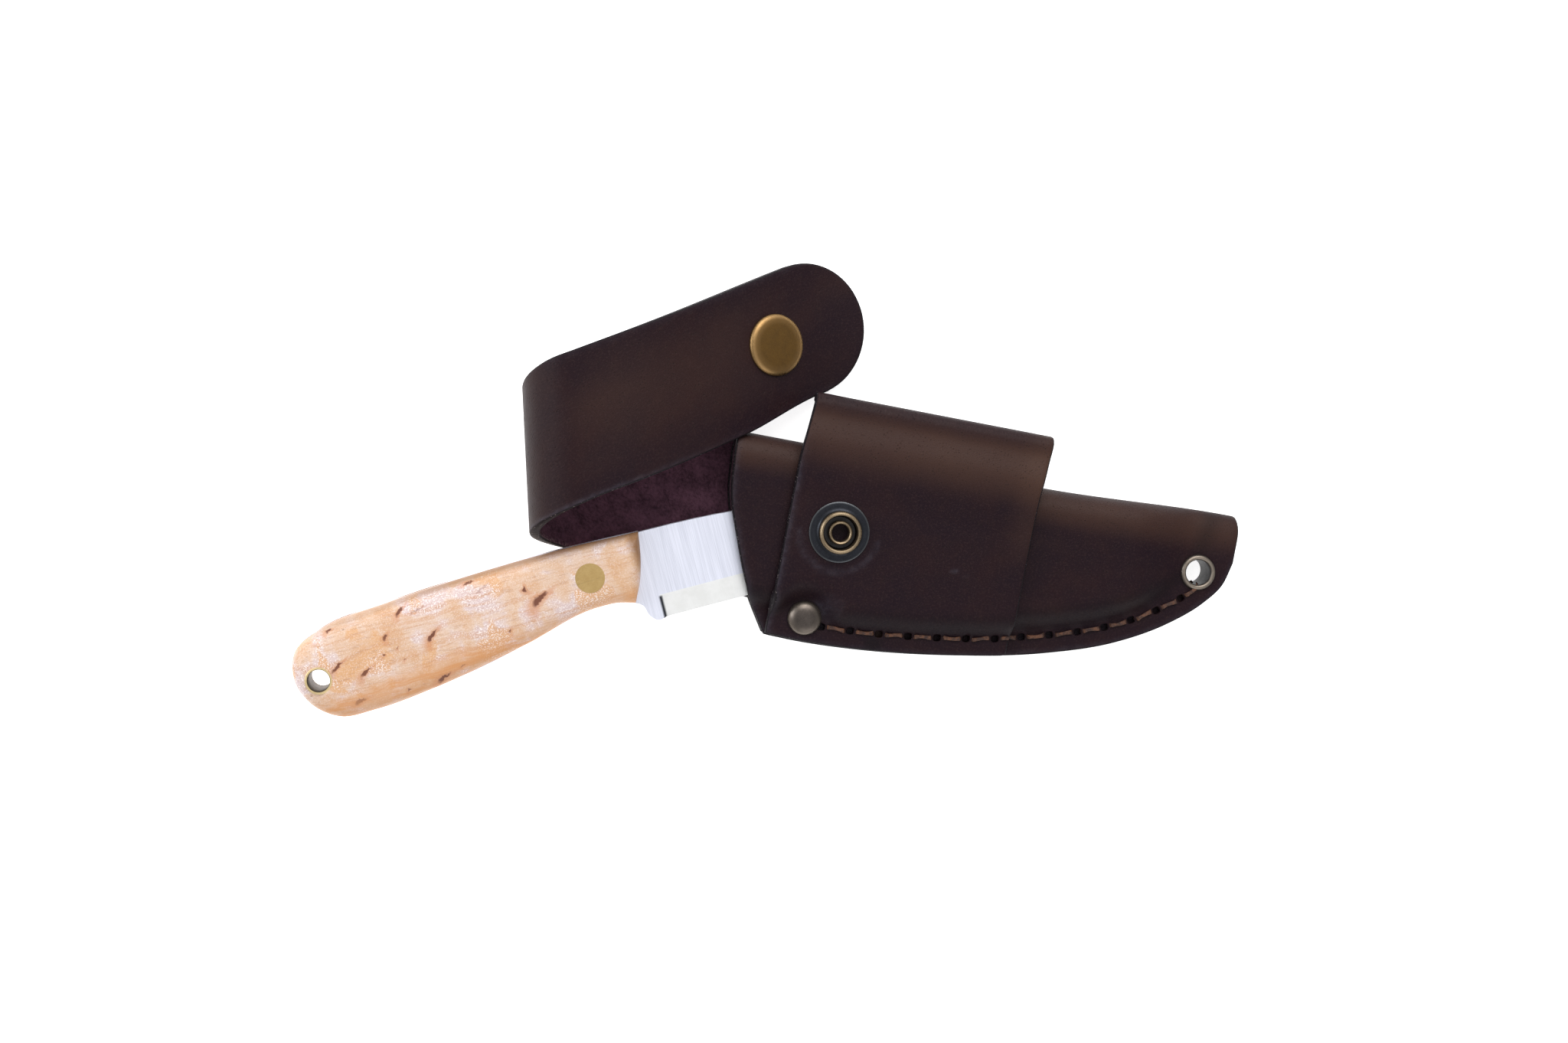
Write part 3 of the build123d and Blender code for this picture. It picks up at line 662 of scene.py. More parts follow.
@dataclass(frozen=True)
class MetalFinish:
    """Plated or solid metal with blotches of patina, painted shade in its hollows and bright rims that are
    partly rubbed wear and partly painted highlight.
    """

    name: str
    base: Colour
    patina: Colour
    # bright: colour of the scratches, and of the rims, which are partly rubbed wear and partly painted
    # highlight
    bright: Colour
    rough: float = 0.34
    age: float = 0.5
    scratch: float = 0.35

    def make(self) -> bpy.types.Material:
        """Builds the material. The tone attribute carries bright rims, partly rubbed wear and partly painted
        highlight, and painted shade in the hollows.

        Returns:
            The material.
        """
        shader = Shader(self.name)
        place = shader.place()
        rubbed, _, dark = shader.parts(shader.attribute("tone"))
        cloud = shader.noise(place, 420, 4, 0.6)
        spots = shader.noise(place, 1900, 4, 0.65)
        lines = shader.noise(shader.stretch(place, (1, 0.12, 1), 35), 3800, 3, 0.6)
        stain = (cloud * 0.65 + spots * 0.45).step(0.38, 0.78)
        colour = shader.mix(stain * self.age, self.base, self.patina)
        # bright rims: partly rubbed wear, partly painted highlight
        colour = shader.mix((rubbed * (0.5 + spots)).least(1.0), colour, self.bright)
        colour = shader.mix(lines.step(0.62, 0.76) * self.scratch, colour, self.bright)
        # painted shade in hollows, bores and undersides
        colour = shader.mix(dark.least(1.0), colour, (0.008, 0.007, 0.008, 1))
        shader.set(
            Base_Color=colour,
            Metallic=0.94 - dark * 0.5,
            Roughness=self.rough + stain * 0.18 * self.age + spots * 0.06,
            Normal=shader.bump(spots * 0.6 + lines * 0.4, 0.00005, 0.4),
        )
        return shader.material


# ------------------------------------------------------------------ mesh tools
@dataclass(frozen=True)
class Spot:
    """A point of a leather sheet: middle of its thickness, direction of its grain face and tones."""

    at: Vector
    sheet: Pair = (0.0, 0.0)
    tone: tuple[float, float, float] = (0.0, 0.0, 0.0)
    face: Vector | None = None


class Draft:
    """Mesh of one piece while it is made, in millimetres."""

    def __init__(self) -> None:
        """Starts empty."""
        self.points: list[Vector] = []
        self.sheet: list[tuple[float, float, float]] = []
        self.tone: list[tuple[float, float, float]] = []
        self.faces: list[tuple[int, ...]] = []

    def point(
        self,
        at: Vector,
        sheet: tuple[float, float, float] = (0, 0, 0),
        tone: tuple[float, float, float] = (0, 0, 0),
    ) -> int:
        """Adds a vertex.

        Args:
            at: Its place.
            sheet: Place on the flat leather in millimetres and side of the sheet.
            tone: Rubbed, scuffed and dark shares.

        Returns:
            Its number.
        """
        self.points.append(Vector(at))
        self.sheet.append((sheet[0] * MM, sheet[1] * MM, sheet[2]))
        self.tone.append(tone)
        return len(self.points) - 1

    def skin(self, rows: Sequence[Sequence[int]], ring: bool = False, loop: bool = False) -> None:
        """Faces between neighbouring rows of vertices.

        Args:
            rows: Rows of equal length.
            ring: Whether each row joins its own end.
            loop: Whether the last row joins the first.
        """
        pairs = list(zip(rows, rows[1:]))
        if loop:
            pairs.append((rows[-1], rows[0]))
        for low, high in pairs:
            steps = len(low) if ring else len(low) - 1
            for step in range(steps):
                after = (step + 1) % len(low)
                self.faces.append((low[step], low[after], high[after], high[step]))

    def slab(self, rows: Sequence[Sequence[Spot]], thick: float, rounding: float,
            plain: Sequence[int] = ()) -> None:
        """Leather sheet with rounded borders over a grid of spots.

        Args:
            rows: Grid of spots, already drawn in by the rounding at its borders.
            thick: Thickness of the leather.
            rounding: Radius of the border.
            plain: Rows, 0 or -1, whose border stays square and flush.
        """
        count, width = len(rows), len(rows[0])
        faces: list[list[Vector]] = []
        for i in range(count):
            line: list[Vector] = []
            for j in range(width):
                spot = rows[i][j]
                if spot.face is not None:
                    line.append(spot.face.normalized())
                    continue
                down = rows[min(i + 1, count - 1)][j].at - rows[max(i - 1, 0)][j].at
                right = rows[i][min(j + 1, width - 1)].at - rows[i][max(j - 1, 0)].at
                line.append(down.cross(right).normalized())
            faces.append(line)
        layers: list[list[list[int]]] = []
        for side, way in ((Side.GRAIN, 1), (Side.FLESH, -1)):
            layers.append([
                [
                    self.point(
                        rows[i][j].at + faces[i][j] * (way * thick / 2),
                        (*rows[i][j].sheet, side.value),
                        rows[i][j].tone,
                    )
                    for j in range(width)
                ]
                for i in range(count)
            ])
        self.skin(layers[0])
        self.skin([list(reversed(row)) for row in layers[1]])
        around = [(0, j) for j in range(width)] + [(i, width - 1) for i in range(1, count)]
        around += [(count - 1, j) for j in range(width - 2, -1, -1)] + [(i, 0) for i in range(count - 2, 0,
            -1)]
        flush = {row % count for row in plain}
        rim: list[list[int]] = [[] for _ in range(5)]
        levels = (thick / 2 - 0.29 * rounding, thick / 2 - rounding, 0.0, rounding - thick / 2,
            0.29 * rounding - thick / 2)
        reach = (0.70, 1.0, 1.04, 1.0, 0.70)
        total = len(around)
        for index, (i, j) in enumerate(around):
            before = rows[around[index - 1][0]][around[index - 1][1]].at
            next_i, next_j = around[(index + 1) % total]
            tangent = rows[next_i][next_j].at - before
            out = faces[i][j].cross(tangent).normalized()
            inward = rows[min(max(i, 1), count - 2)][min(max(j, 1), width - 2)].at - rows[i][j].at
            if out.dot(inward) > 0:
                out = -out
            stretch = 0.0 if i in flush else rounding
            spot = rows[i][j]
            for ring, level, share in zip(rim, levels, reach):
                ring.append(self.point(
                    spot.at + faces[i][j] * level + out * (stretch * share),
                    (*spot.sheet, Side.CUT.value),
                    spot.tone,
                ))
        top = [layers[0][i][j] for i, j in around]
        base = [layers[1][i][j] for i, j in around]
        self.skin([base, *reversed(rim), top], ring=True)

    def turn(
        self, profile: Sequence[Pair], tones: Sequence[tuple[float, float, float]], centre: Vector,
        axis: Vector,
        steps: int = 96, closed: bool = False,
    ) -> None:
        """Turned form about an axis.

        Args:
            profile: Radius and height of each point.
            tones: Tone of each point.
            centre: Foot of the axis.
            axis: Direction of the axis.
            steps: Points round the axis.
            closed: Whether the profile joins its own end.
        """
        up = axis.normalized()
        right = Vector((1, 0, 0)) if abs(up.x) < 0.9 else Vector((0, 1, 0))
        right = (right - up * right.dot(up)).normalized()
        ahead = up.cross(right)
        rows: list[list[int]] = []
        for (radius, height), tone in zip(profile, tones):
            rows.append([
                self.point(
                    centre + up * height + (right * math.cos(a) + ahead * math.sin(a)) * max(radius, 0.001),
                    (0, 0, 0), tone,
                )
                for a in (2 * math.pi * k / steps for k in range(steps))
            ])
        self.skin(rows, ring=True, loop=closed)

    def piece(
        self, name: str, material: bpy.types.Material, body: Body | None,
        replaces: Sequence[str] = (), crease: float = 40.0, cutters: Sequence["Draft"] = (),
    ) -> bpy.types.Object:
        """Makes the Blender object.

        Args:
            name: Name of the piece.
            material: Its finish.
            body: Body it rides on, or None to leave it unattached.
            replaces: CAD nodes that it stands for.
            crease: Angle in degrees beyond which an edge stays sharp.
            cutters: Forms that are cut away, one after another.

        Returns:
            The object.
        """
        made = self._object(name)
        made.data.materials.append(material)
        for cutter in cutters:
            tool = cutter._object(name + "_cutter")
            tool.data.materials.append(material)
            cut = made.modifiers.new("holes", "BOOLEAN")
            cut.operation = "DIFFERENCE"
            cut.solver = "EXACT"
            cut.object = tool
            graph = bpy.context.evaluated_depsgraph_get()
            mesh = bpy.data.meshes.new_from_object(made.evaluated_get(graph))
            made.modifiers.clear()
            made.data = mesh
            bpy.data.objects.remove(tool)
        made.data.shade_smooth()
        made.data.set_sharp_from_angle(angle=math.radians(crease))
        if replaces:
            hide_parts(*replaces)
        if body is not None:
            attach(made, body.value)
        LOG.info("%s: %d faces", name, len(made.data.polygons))
        return made

    def _object(self, name: str) -> bpy.types.Object:
        """Plain object of the draft, in metres, with its vertex attributes."""
        mesh = bpy.data.meshes.new(name)
        mesh.from_pydata([tuple(point * MM) for point in self.points], [], self.faces)
        for key, values in (("sheet", self.sheet), ("tone", self.tone)):
            layer = mesh.attributes.new(key, "FLOAT_VECTOR", "POINT")
            layer.data.foreach_set("vector", [number for value in values for number in value])
        shape = bmesh.new()
        shape.from_mesh(mesh)
        bmesh.ops.remove_doubles(shape, verts=shape.verts, dist=2e-6)
        bmesh.ops.recalc_face_normals(shape, faces=shape.faces)
        shape.to_mesh(mesh)
        shape.free()
        made = bpy.data.objects.new(name, mesh)
        bpy.context.scene.collection.objects.link(made)
        return made


# ------------------------------------------------------------------ sheath
@dataclass
class Pouch:
    """Folded pouch: a raised front panel, a round spine, a flat back and a seam with a welt."""

    leather: float = 2.4
    rise: float = 4.0
    slope_start: float = 5.6
    slope_run: float = 5.6
    raised_end: float = 71.0
    rivet_seat: float = 5.6
    tip_lift: float = 2.0
    tip_lift_x: Pair = (28.0, 80.0)
    tip_lift_y: Pair = (2.0, 15.0)
    border: float = 0.55
    seam: tuple[Pair, ...] = (
        (-33.6, -31.8), (-24.2, -32.1), (-12, -31.75), (14, -29.0), (38, -24.3), (54.8, -18.8), (68.1, -11.5),
        (76.4, -4.6), (80.3, 0.4), (82.1, 6.2),
    )
    mouth: tuple[Pair, ...] = ((-33.6, -31.8), (-39.7, -21.9), (-45.0, -9.5), (-48.6, 1.0), (-49.7, 10.8))
    along: int = 110
    up: int = 40
    seam_line: list[Vector] = field(default_factory=list)

    def __post_init__(self) -> None:
        """Reads the heights and the spine from the CAD pouch."""
        low, high = lowest("sheath_body"), highest("sheath_body")
        self.back_z = low.z
        self.top_z = high.z
        self.seam_z = high.z - self.rise
        self.spine_y = high.y
        self.fold_r = (self.top_z - self.back_z) / 2
        self.rivet = middle("rivet_cap").xy
        self.seam_line = smooth_line(self.seam, 160)

    def seam_gap(self, x: float, y: float) -> float:
        """Distance in from the seam edge."""
        here = Vector((x, y))
        best = min(range(len(self.seam_line)), key=lambda k: (self.seam_line[k] - here).length_squared)
        a, b = self.seam_line[max(best - 1, 0)], self.seam_line[min(best + 1, len(self.seam_line) - 1)]
        along = (b - a).normalized()
        return (here - a).dot(Vector((-along.y, along.x)))

    def face_z(self, x: float, y: float, grow: float = 0.0) -> float:
        """Height of the front panel's face.

        Args:
            x: Place along the sheath.
            y: Place across it.
            grow: How much nearer the seam the slope begins, for a layer that lies over it.

        Returns:
            Height in millimetres.
        """
        gap = self.seam_gap(x, y)
        lift = ease(gap, self.slope_start - grow, self.slope_start + self.slope_run - grow)
        lift *= 1 - ease(x, self.raised_end - 17 - grow, self.raised_end + grow)
        lift *= ease((Vector((x, y)) - self.rivet).length, self.rivet_seat - grow / 2, self.rivet_seat + 4.5)
        return self.seam_z + self.rise * lift

    def edge_at(self, x: float) -> float:
        """Y of the seam edge at X."""
        for a, b in zip(self.seam_line, self.seam_line[1:]):
            if a.x <= x <= b.x:
                return a.y + (b.y - a.y) * (x - a.x) / (b.x - a.x)
        return self.seam_line[0].y

    def plan(self, s: float, t: float, top: float) -> Vector:
        """Place in plan on the four-sided panel.

        Args:
            s: Share from mouth to tip.
            t: Share from seam to spine.
            top: Y of the upper border.

        Returns:
            The place.
        """
        inset = self.border
        tip_x = self.seam[-1][0] - inset
        index = s * (len(self.seam_line) - 1)
        low = int(min(index, len(self.seam_line) - 2))
        bottom = self.seam_line[low].lerp(self.seam_line[low + 1], index - low)
        heading = (self.seam_line[low + 1] - self.seam_line[low]).normalized()
        bottom = bottom + Vector((-heading.y, heading.x)) * inset
        mouth_index = t * (len(self.mouth_line) - 1)
        low = int(min(mouth_index, len(self.mouth_line) - 2))
        left = self.mouth_line[low].lerp(self.mouth_line[low + 1], mouth_index - low) + Vector((inset, 0))
        start, end = self.mouth_line[0] + Vector((inset, inset)), self.seam_line[-1] + Vector((-inset, 0))
        upper = Vector((self.mouth_line[-1].x + inset, top)).lerp(Vector((tip_x, top)), s)
        right = end.lerp(Vector((tip_x, top)), t)
        corner_a, corner_b = Vector((self.mouth_line[-1].x + inset, top)), Vector((tip_x, top))
        patch = bottom * (1 - t) + upper * t + left * (1 - s) + right * s
        patch -= start * (1 - s) * (1 - t) + end * s * (1 - t) + corner_a * (1 - s) * t + corner_b * s * t
        return patch

    def rows(self) -> list[list[Spot]]:
        """Grid of the whole sheet, each row from the front seam over the spine to the back seam."""
        self.mouth_line = smooth_line(self.mouth, 60)
        fold_y = self.spine_y - self.fold_r
        mid_r = self.fold_r - self.leather / 2
        fold_z = self.back_z + self.fold_r
        grid: list[list[Spot]] = []
        for i in range(self.along + 1):
            s = i / self.along
            row: list[Spot] = []
            for j in range(self.up + 1):
                t = (j / self.up) ** 0.9
                at = self.plan(s, t, fold_y)
                z = self.face_z(at.x, at.y) - self.leather / 2
                row.append(self._spot(at.x, at.y, z, at.y, s))
            last = row[-1].at
            drop = self.face_z(last.x, last.y) - self.top_z
            for step in range(1, 18):
                turn = math.pi * step / 18
                y = fold_y + mid_r * math.sin(turn)
                z = fold_z + mid_r * math.cos(turn) + drop * (1 + math.cos(turn)) / 2
                pull = 0.9 * ease(s, 0.95, 1.0) * math.sin(turn) ** 3
                row.append(self._spot(last.x - pull, y, z, y + mid_r * turn, s))
            for j in range(self.up, -1, -1):
                t = (j / self.up) ** 0.9
                at = self.plan(s, t, fold_y)
                row.append(self._spot(at.x, at.y, self.back_z + self.leather / 2, 60 - at.y, s))
            grid.append(row)
        return grid

    def _spot(self, x: float, y: float, z: float, unrolled: float, s: float) -> Spot:
        """Spot of the sheet with its tones: a lighter band below the spine, partly rubbed wear and partly
        painted highlight, scuffs at the borders, and painted shade on the ramp beside the seam.
        """
        warm = 0.0
        if z > self.back_z + self.leather:
            # lighter band below the spine: partly rubbed wear, partly painted highlight
            warm = 0.62 * ease(y, 6.0, 12.5) * (1 - ease(y, 13.6, 16.4))
            warm += 0.10 * max(noise.noise(Vector((x * 0.06, y * 0.2, 3.0))), 0)
        gap = self.seam_gap(x, y)
        scuffed = 0.25 * (1 - ease(gap, 0.4, 1.6)) + 0.35 * (1 - ease(s, 0.0, 0.012))
        # painted shade on the ramp where the front panel rises from the seam
        dark = 0.35 * (1 - ease(abs(gap - 9.5), 0.0, 4.0)) if z > self.back_z + self.leather else 0.0
        # the spine climbs a little towards the tip
        rise = self.tip_lift * ease(x, *self.tip_lift_x) * ease(y, *self.tip_lift_y)
        return Spot(Vector((x, y + rise, z)), (x, unrolled), (warm, scuffed, dark))


def hole_cutter(spots: Sequence[Vector], low: float, high: float, half: Pair) -> Draft:
    """Small prisms that punch the lacing's holes.

    Args:
        spots: Centre and direction of each hole as x, y and turn.
        low: Lowest height.
        high: Highest height.
        half: Half sizes along and across the seam.

    Returns:
        The prisms.
    """
    draft = Draft()
    for spot in spots:
        rows = []
        for z in (low, high):
            ring = []
            for k in range(12):
                angle = 2 * math.pi * (k + 0.5) / 12
                reach = 1 / (abs(math.cos(angle)) ** 3.4 + abs(math.sin(angle)) ** 3.4) ** (1 / 3.4)
                local = Vector((half[0] * reach * math.cos(angle), half[1] * reach * math.sin(angle), 0))
                local.rotate(Matrix.Rotation(spot.z, 3, "Z"))
                # the hole walls carry the dark tone: painted shade inside the holes
                ring.append(draft.point(
                    Vector((spot.x, spot.y, z)) + local, (spot.x, spot.y, Side.CUT.value), (0, 0, 0.9)))
            rows.append(ring)
        draft.skin(rows, ring=True)
        draft.faces.append(tuple(reversed(rows[0])))
        draft.faces.append(tuple(rows[1]))
    return draft


@dataclass
class Lacing:
    """Lace sewn along the seam through punched holes, on the front and on the back."""

    pouch: Pouch
    wrap_thick: float = 2.6
    wrap_edge: float = 27.5
    inset: float = 4.4
    first: float = 0.105
    last: float = 0.925
    stitches: int = 14
    width: float = 1.25
    thick: float = 0.65
    hole: Pair = (1.05, 0.95)

    def place(self, share: float) -> Vector:
        """Point on the stitch line with the seam's direction as its third number."""
        line = self.pouch.seam_line
        index = share * (len(line) - 1)
        low = int(min(index, len(line) - 2))
        heading = (line[low + 1] - line[low]).normalized()
        at = line[low].lerp(line[low + 1], index - low) + Vector((-heading.y, heading.x)) * self.inset
        return Vector((at.x, at.y, math.atan2(heading.y, heading.x)))

    def holes(self) -> list[Vector]:
        """Every punched hole on the stitch line."""
        pitch = (self.last - self.first) / self.stitches
        return [self.place(self.first + pitch * k) for k in range(self.stitches + 1)]

    def surface(self, x: float) -> float:
        """Height of the leather under the lace."""
        return self.pouch.seam_z + (self.wrap_thick if x < self.wrap_edge else 0.0)

    def back(self, x: float) -> float:
        """Height of the back's face."""
        return 0.0 if x < self.wrap_edge else self.pouch.back_z

    def build(self, material: bpy.types.Material) -> bpy.types.Object:
        """Makes every run of lace.

        Args:
            material: Lace finish.

        Returns:
            The lacing.
        """
        draft = Draft()
        marks = self.holes()
        for index, (start, end) in enumerate(zip(marks, marks[1:])):
            for top in (True, False):
                self._run(draft, start, end, index, top)
        return draft.piece("lacing", material, Body.SHEATH, ["seam_lacing"])

    def _run(self, draft: Draft, start: Vector, end: Vector, index: int, top: bool) -> None:
        """One run of lace from the edge of a hole down into the next."""
        along = (end.xy - start.xy)
        length = along.length
        along.normalize()
        side = Vector((-along.y, along.x))
        way = 1.0 if top else -1.0
        rows: list[list[int]] = []
        steps = 16
        for step in range(steps + 1):
            share = step / steps
            reach = 0.14 + 0.77 * share
            at = start.xy + along * (length * reach)
            bend = 0.16 * math.sin(share * 5.0 + index * 2.1)
            at = at + side * (bend + (0.28 if index % 2 else -0.1) * (share - 0.5))
            leather = self.surface(at.x) if top else self.back(at.x)
            dip = 1.5 * (1 - ease(share, 0.0, 0.16)) + 1.9 * ease(share, 0.80, 1.0)
            lump = (0.22 if top else 0.0) * math.exp(-((share - 0.16) / 0.09) ** 2)
            depth = 0.08 if top else 0.50
            z = leather + way * (self.thick / 2 + depth * way + lump - dip)
            wide = self.width * (1.0 - 0.30 * math.sin(math.pi * min(share * 1.15, 1.0)))
            wide *= 1 + 0.12 * noise.noise(Vector((at.x * 0.9, index * 3.1, share * 4)))
            twist = 0.34 * math.sin(share * 3.4 + index)
            ring = []
            for k in range(12):
                angle = 2 * math.pi * k / 12
                u = math.copysign(abs(math.cos(angle)) ** 0.8, math.cos(angle)) * wide / 2
                v = math.copysign(abs(math.sin(angle)) ** 0.8, math.sin(angle)) * self.thick / 2
                u, v = u * math.cos(twist) - v * math.sin(twist), u * math.sin(twist) * 0.5 + v
                spot = at + side * u
                shade = 0.75 * (1 - ease(share, 0.0, 0.14)) + 0.85 * ease(share, 0.84, 1.0)
                ring.append(draft.point(Vector((spot.x, spot.y, z + v)), (0, 0, 0), (0, 0, shade)))
            rows.append(ring)
        draft.skin(rows, ring=True)
        draft.faces.append(tuple(rows[0]))
        draft.faces.append(tuple(reversed(rows[-1])))


@dataclass
class Wrap:
    """Belt wrap: a wide loop of leather sewn over the pouch, with a channel for the belt above the spine."""

    pouch: Pouch
    leather: float = 2.6
    crest: float = 1.0
    border: float = 0.5
    nose_lean: Pair = (1.4, 1.3)
    tucked: float = 3.4
    along: int = 64

    def __post_init__(self) -> None:
        """Reads where the stud stands."""
        self.stud = middle("snap_stud").to_2d()

    def rows(self) -> list[list[Spot]]:
        """Grid of the sheet, each row round the loop from front seam to back seam."""
        low, high = lowest("belt_wrap"), highest("belt_wrap")
        top = self.pouch.top_z + self.leather
        half = self.leather / 2
        nose_y, nose_z = high.y - half, 11.5
        over = smooth_line(
            [(4.0, top - half), (11.0, top + 0.55 * self.crest - half), (18.0, top + self.crest - half - 0.1),
             (24.2, top - 0.6 - half), (28.0, 15.1), (nose_y, nose_z), (27.6, 7.9), (23.6, 4.6), (18.0, 2.75),
             (11.0, 1.7), (4.0, half)], 74)
        grid: list[list[Spot]] = []
        for i in range(self.along + 1):
            share = i / self.along
            x0, x1 = low.x + self.border, high.x - self.border
            x = x0 + (x1 - x0) * share
            edge = self.pouch.edge_at(x) + self.border
            row: list[Spot] = []
            unrolled, inset = 0.0, self.tucked * (1 - share) ** 4
            for j in range(34):
                y = edge + (4.0 - edge) * (j / 34)
                z = self.pouch.face_z(x, y, 1.3) + half
                row.append(self._spot(x, y, z, y, share, True))
            for at in over[:-1]:
                lean = ease(at.x, 12.0, 29.0)
                front = at.y > nose_z - 3
                shift = (self.nose_lean[0] * (1 - share) + self.nose_lean[1] * share) * lean
                unrolled = at.x if front else 62 - at.x
                tuck = inset * ease(nose_z - at.y, -1.0, 7.0)
                row.append(self._spot(x + shift + tuck, at.x, at.y, unrolled, share, front))
            for j in range(27):
                y = 4.0 + (edge - 4.0) * j / 26
                row.append(self._spot(x + inset * ease(y, -24, -6), y, half, 62 - y, share, False))
            grid.append(row)
        return grid

    def _spot(self, x: float, y: float, z: float, unrolled: float, share: float, front: bool) -> Spot:
        """Spot of the sheet with its tones: a lighter band under the nose, partly rubbed wear and partly
        painted highlight, scuffs, marks pressed in, a glue smudge and painted shade on the ramp beside the
        seam.
        """
        warm, dark, scuffed = 0.0, 0.0, 0.0
        gap = self.pouch.seam_gap(x, y)
        if front:
            # lighter band under the nose and towards the right end: partly rubbed wear, partly painted
            # highlight
            band = ease(y, 9.0, 19.5) * (1 - ease(y, 24.0, 29.0))
            warm = (0.60 + 0.25 * share) * band + 0.10 * ease(y, 26.0, 30.0)
            warm += 0.30 * ease(share, 0.86, 1.0) * ease(y, -6, 6)
            scuffed = 0.5 * (1 - ease(share, 0.0, 0.022)) * (1 - ease(y, 8, 22))
            bloom = (Vector((x, y)) - self.pouch.rivet - Vector((5.0, 3.4))).length
            scuffed += 0.42 * (1 - ease(bloom, 1.5, 5.0))
            ring_gap = abs((Vector((x, y)) - self.stud).length - 10.0)
            scuffed += 0.30 * (1 - ease(ring_gap, 0.0, 1.3)) * (y < self.stud.y)
            nick = Vector((x, y)) - Vector((10.0, -12.2))
            scuffed += 0.55 * (1 - ease(abs(nick.length - 4.4), 0.0, 0.35)) * (nick.y > 2.2) * (nick.x > -2.0)
            smudge = (Vector((x, y)) - Vector((-6.5, -29.6))).length
            # a glue smudge, and painted shade on the ramp beside the seam
            dark = 0.5 * (1 - ease(smudge, 1.0, 3.4)) + 0.30 * (1 - ease(abs(gap - 8.0), 0.0, 4.5))
        scuffed += 0.20 * (1 - ease(gap, 0.3, 1.4))
        return Spot(Vector((x, y, z)), (x, unrolled), (warm, scuffed, dark))


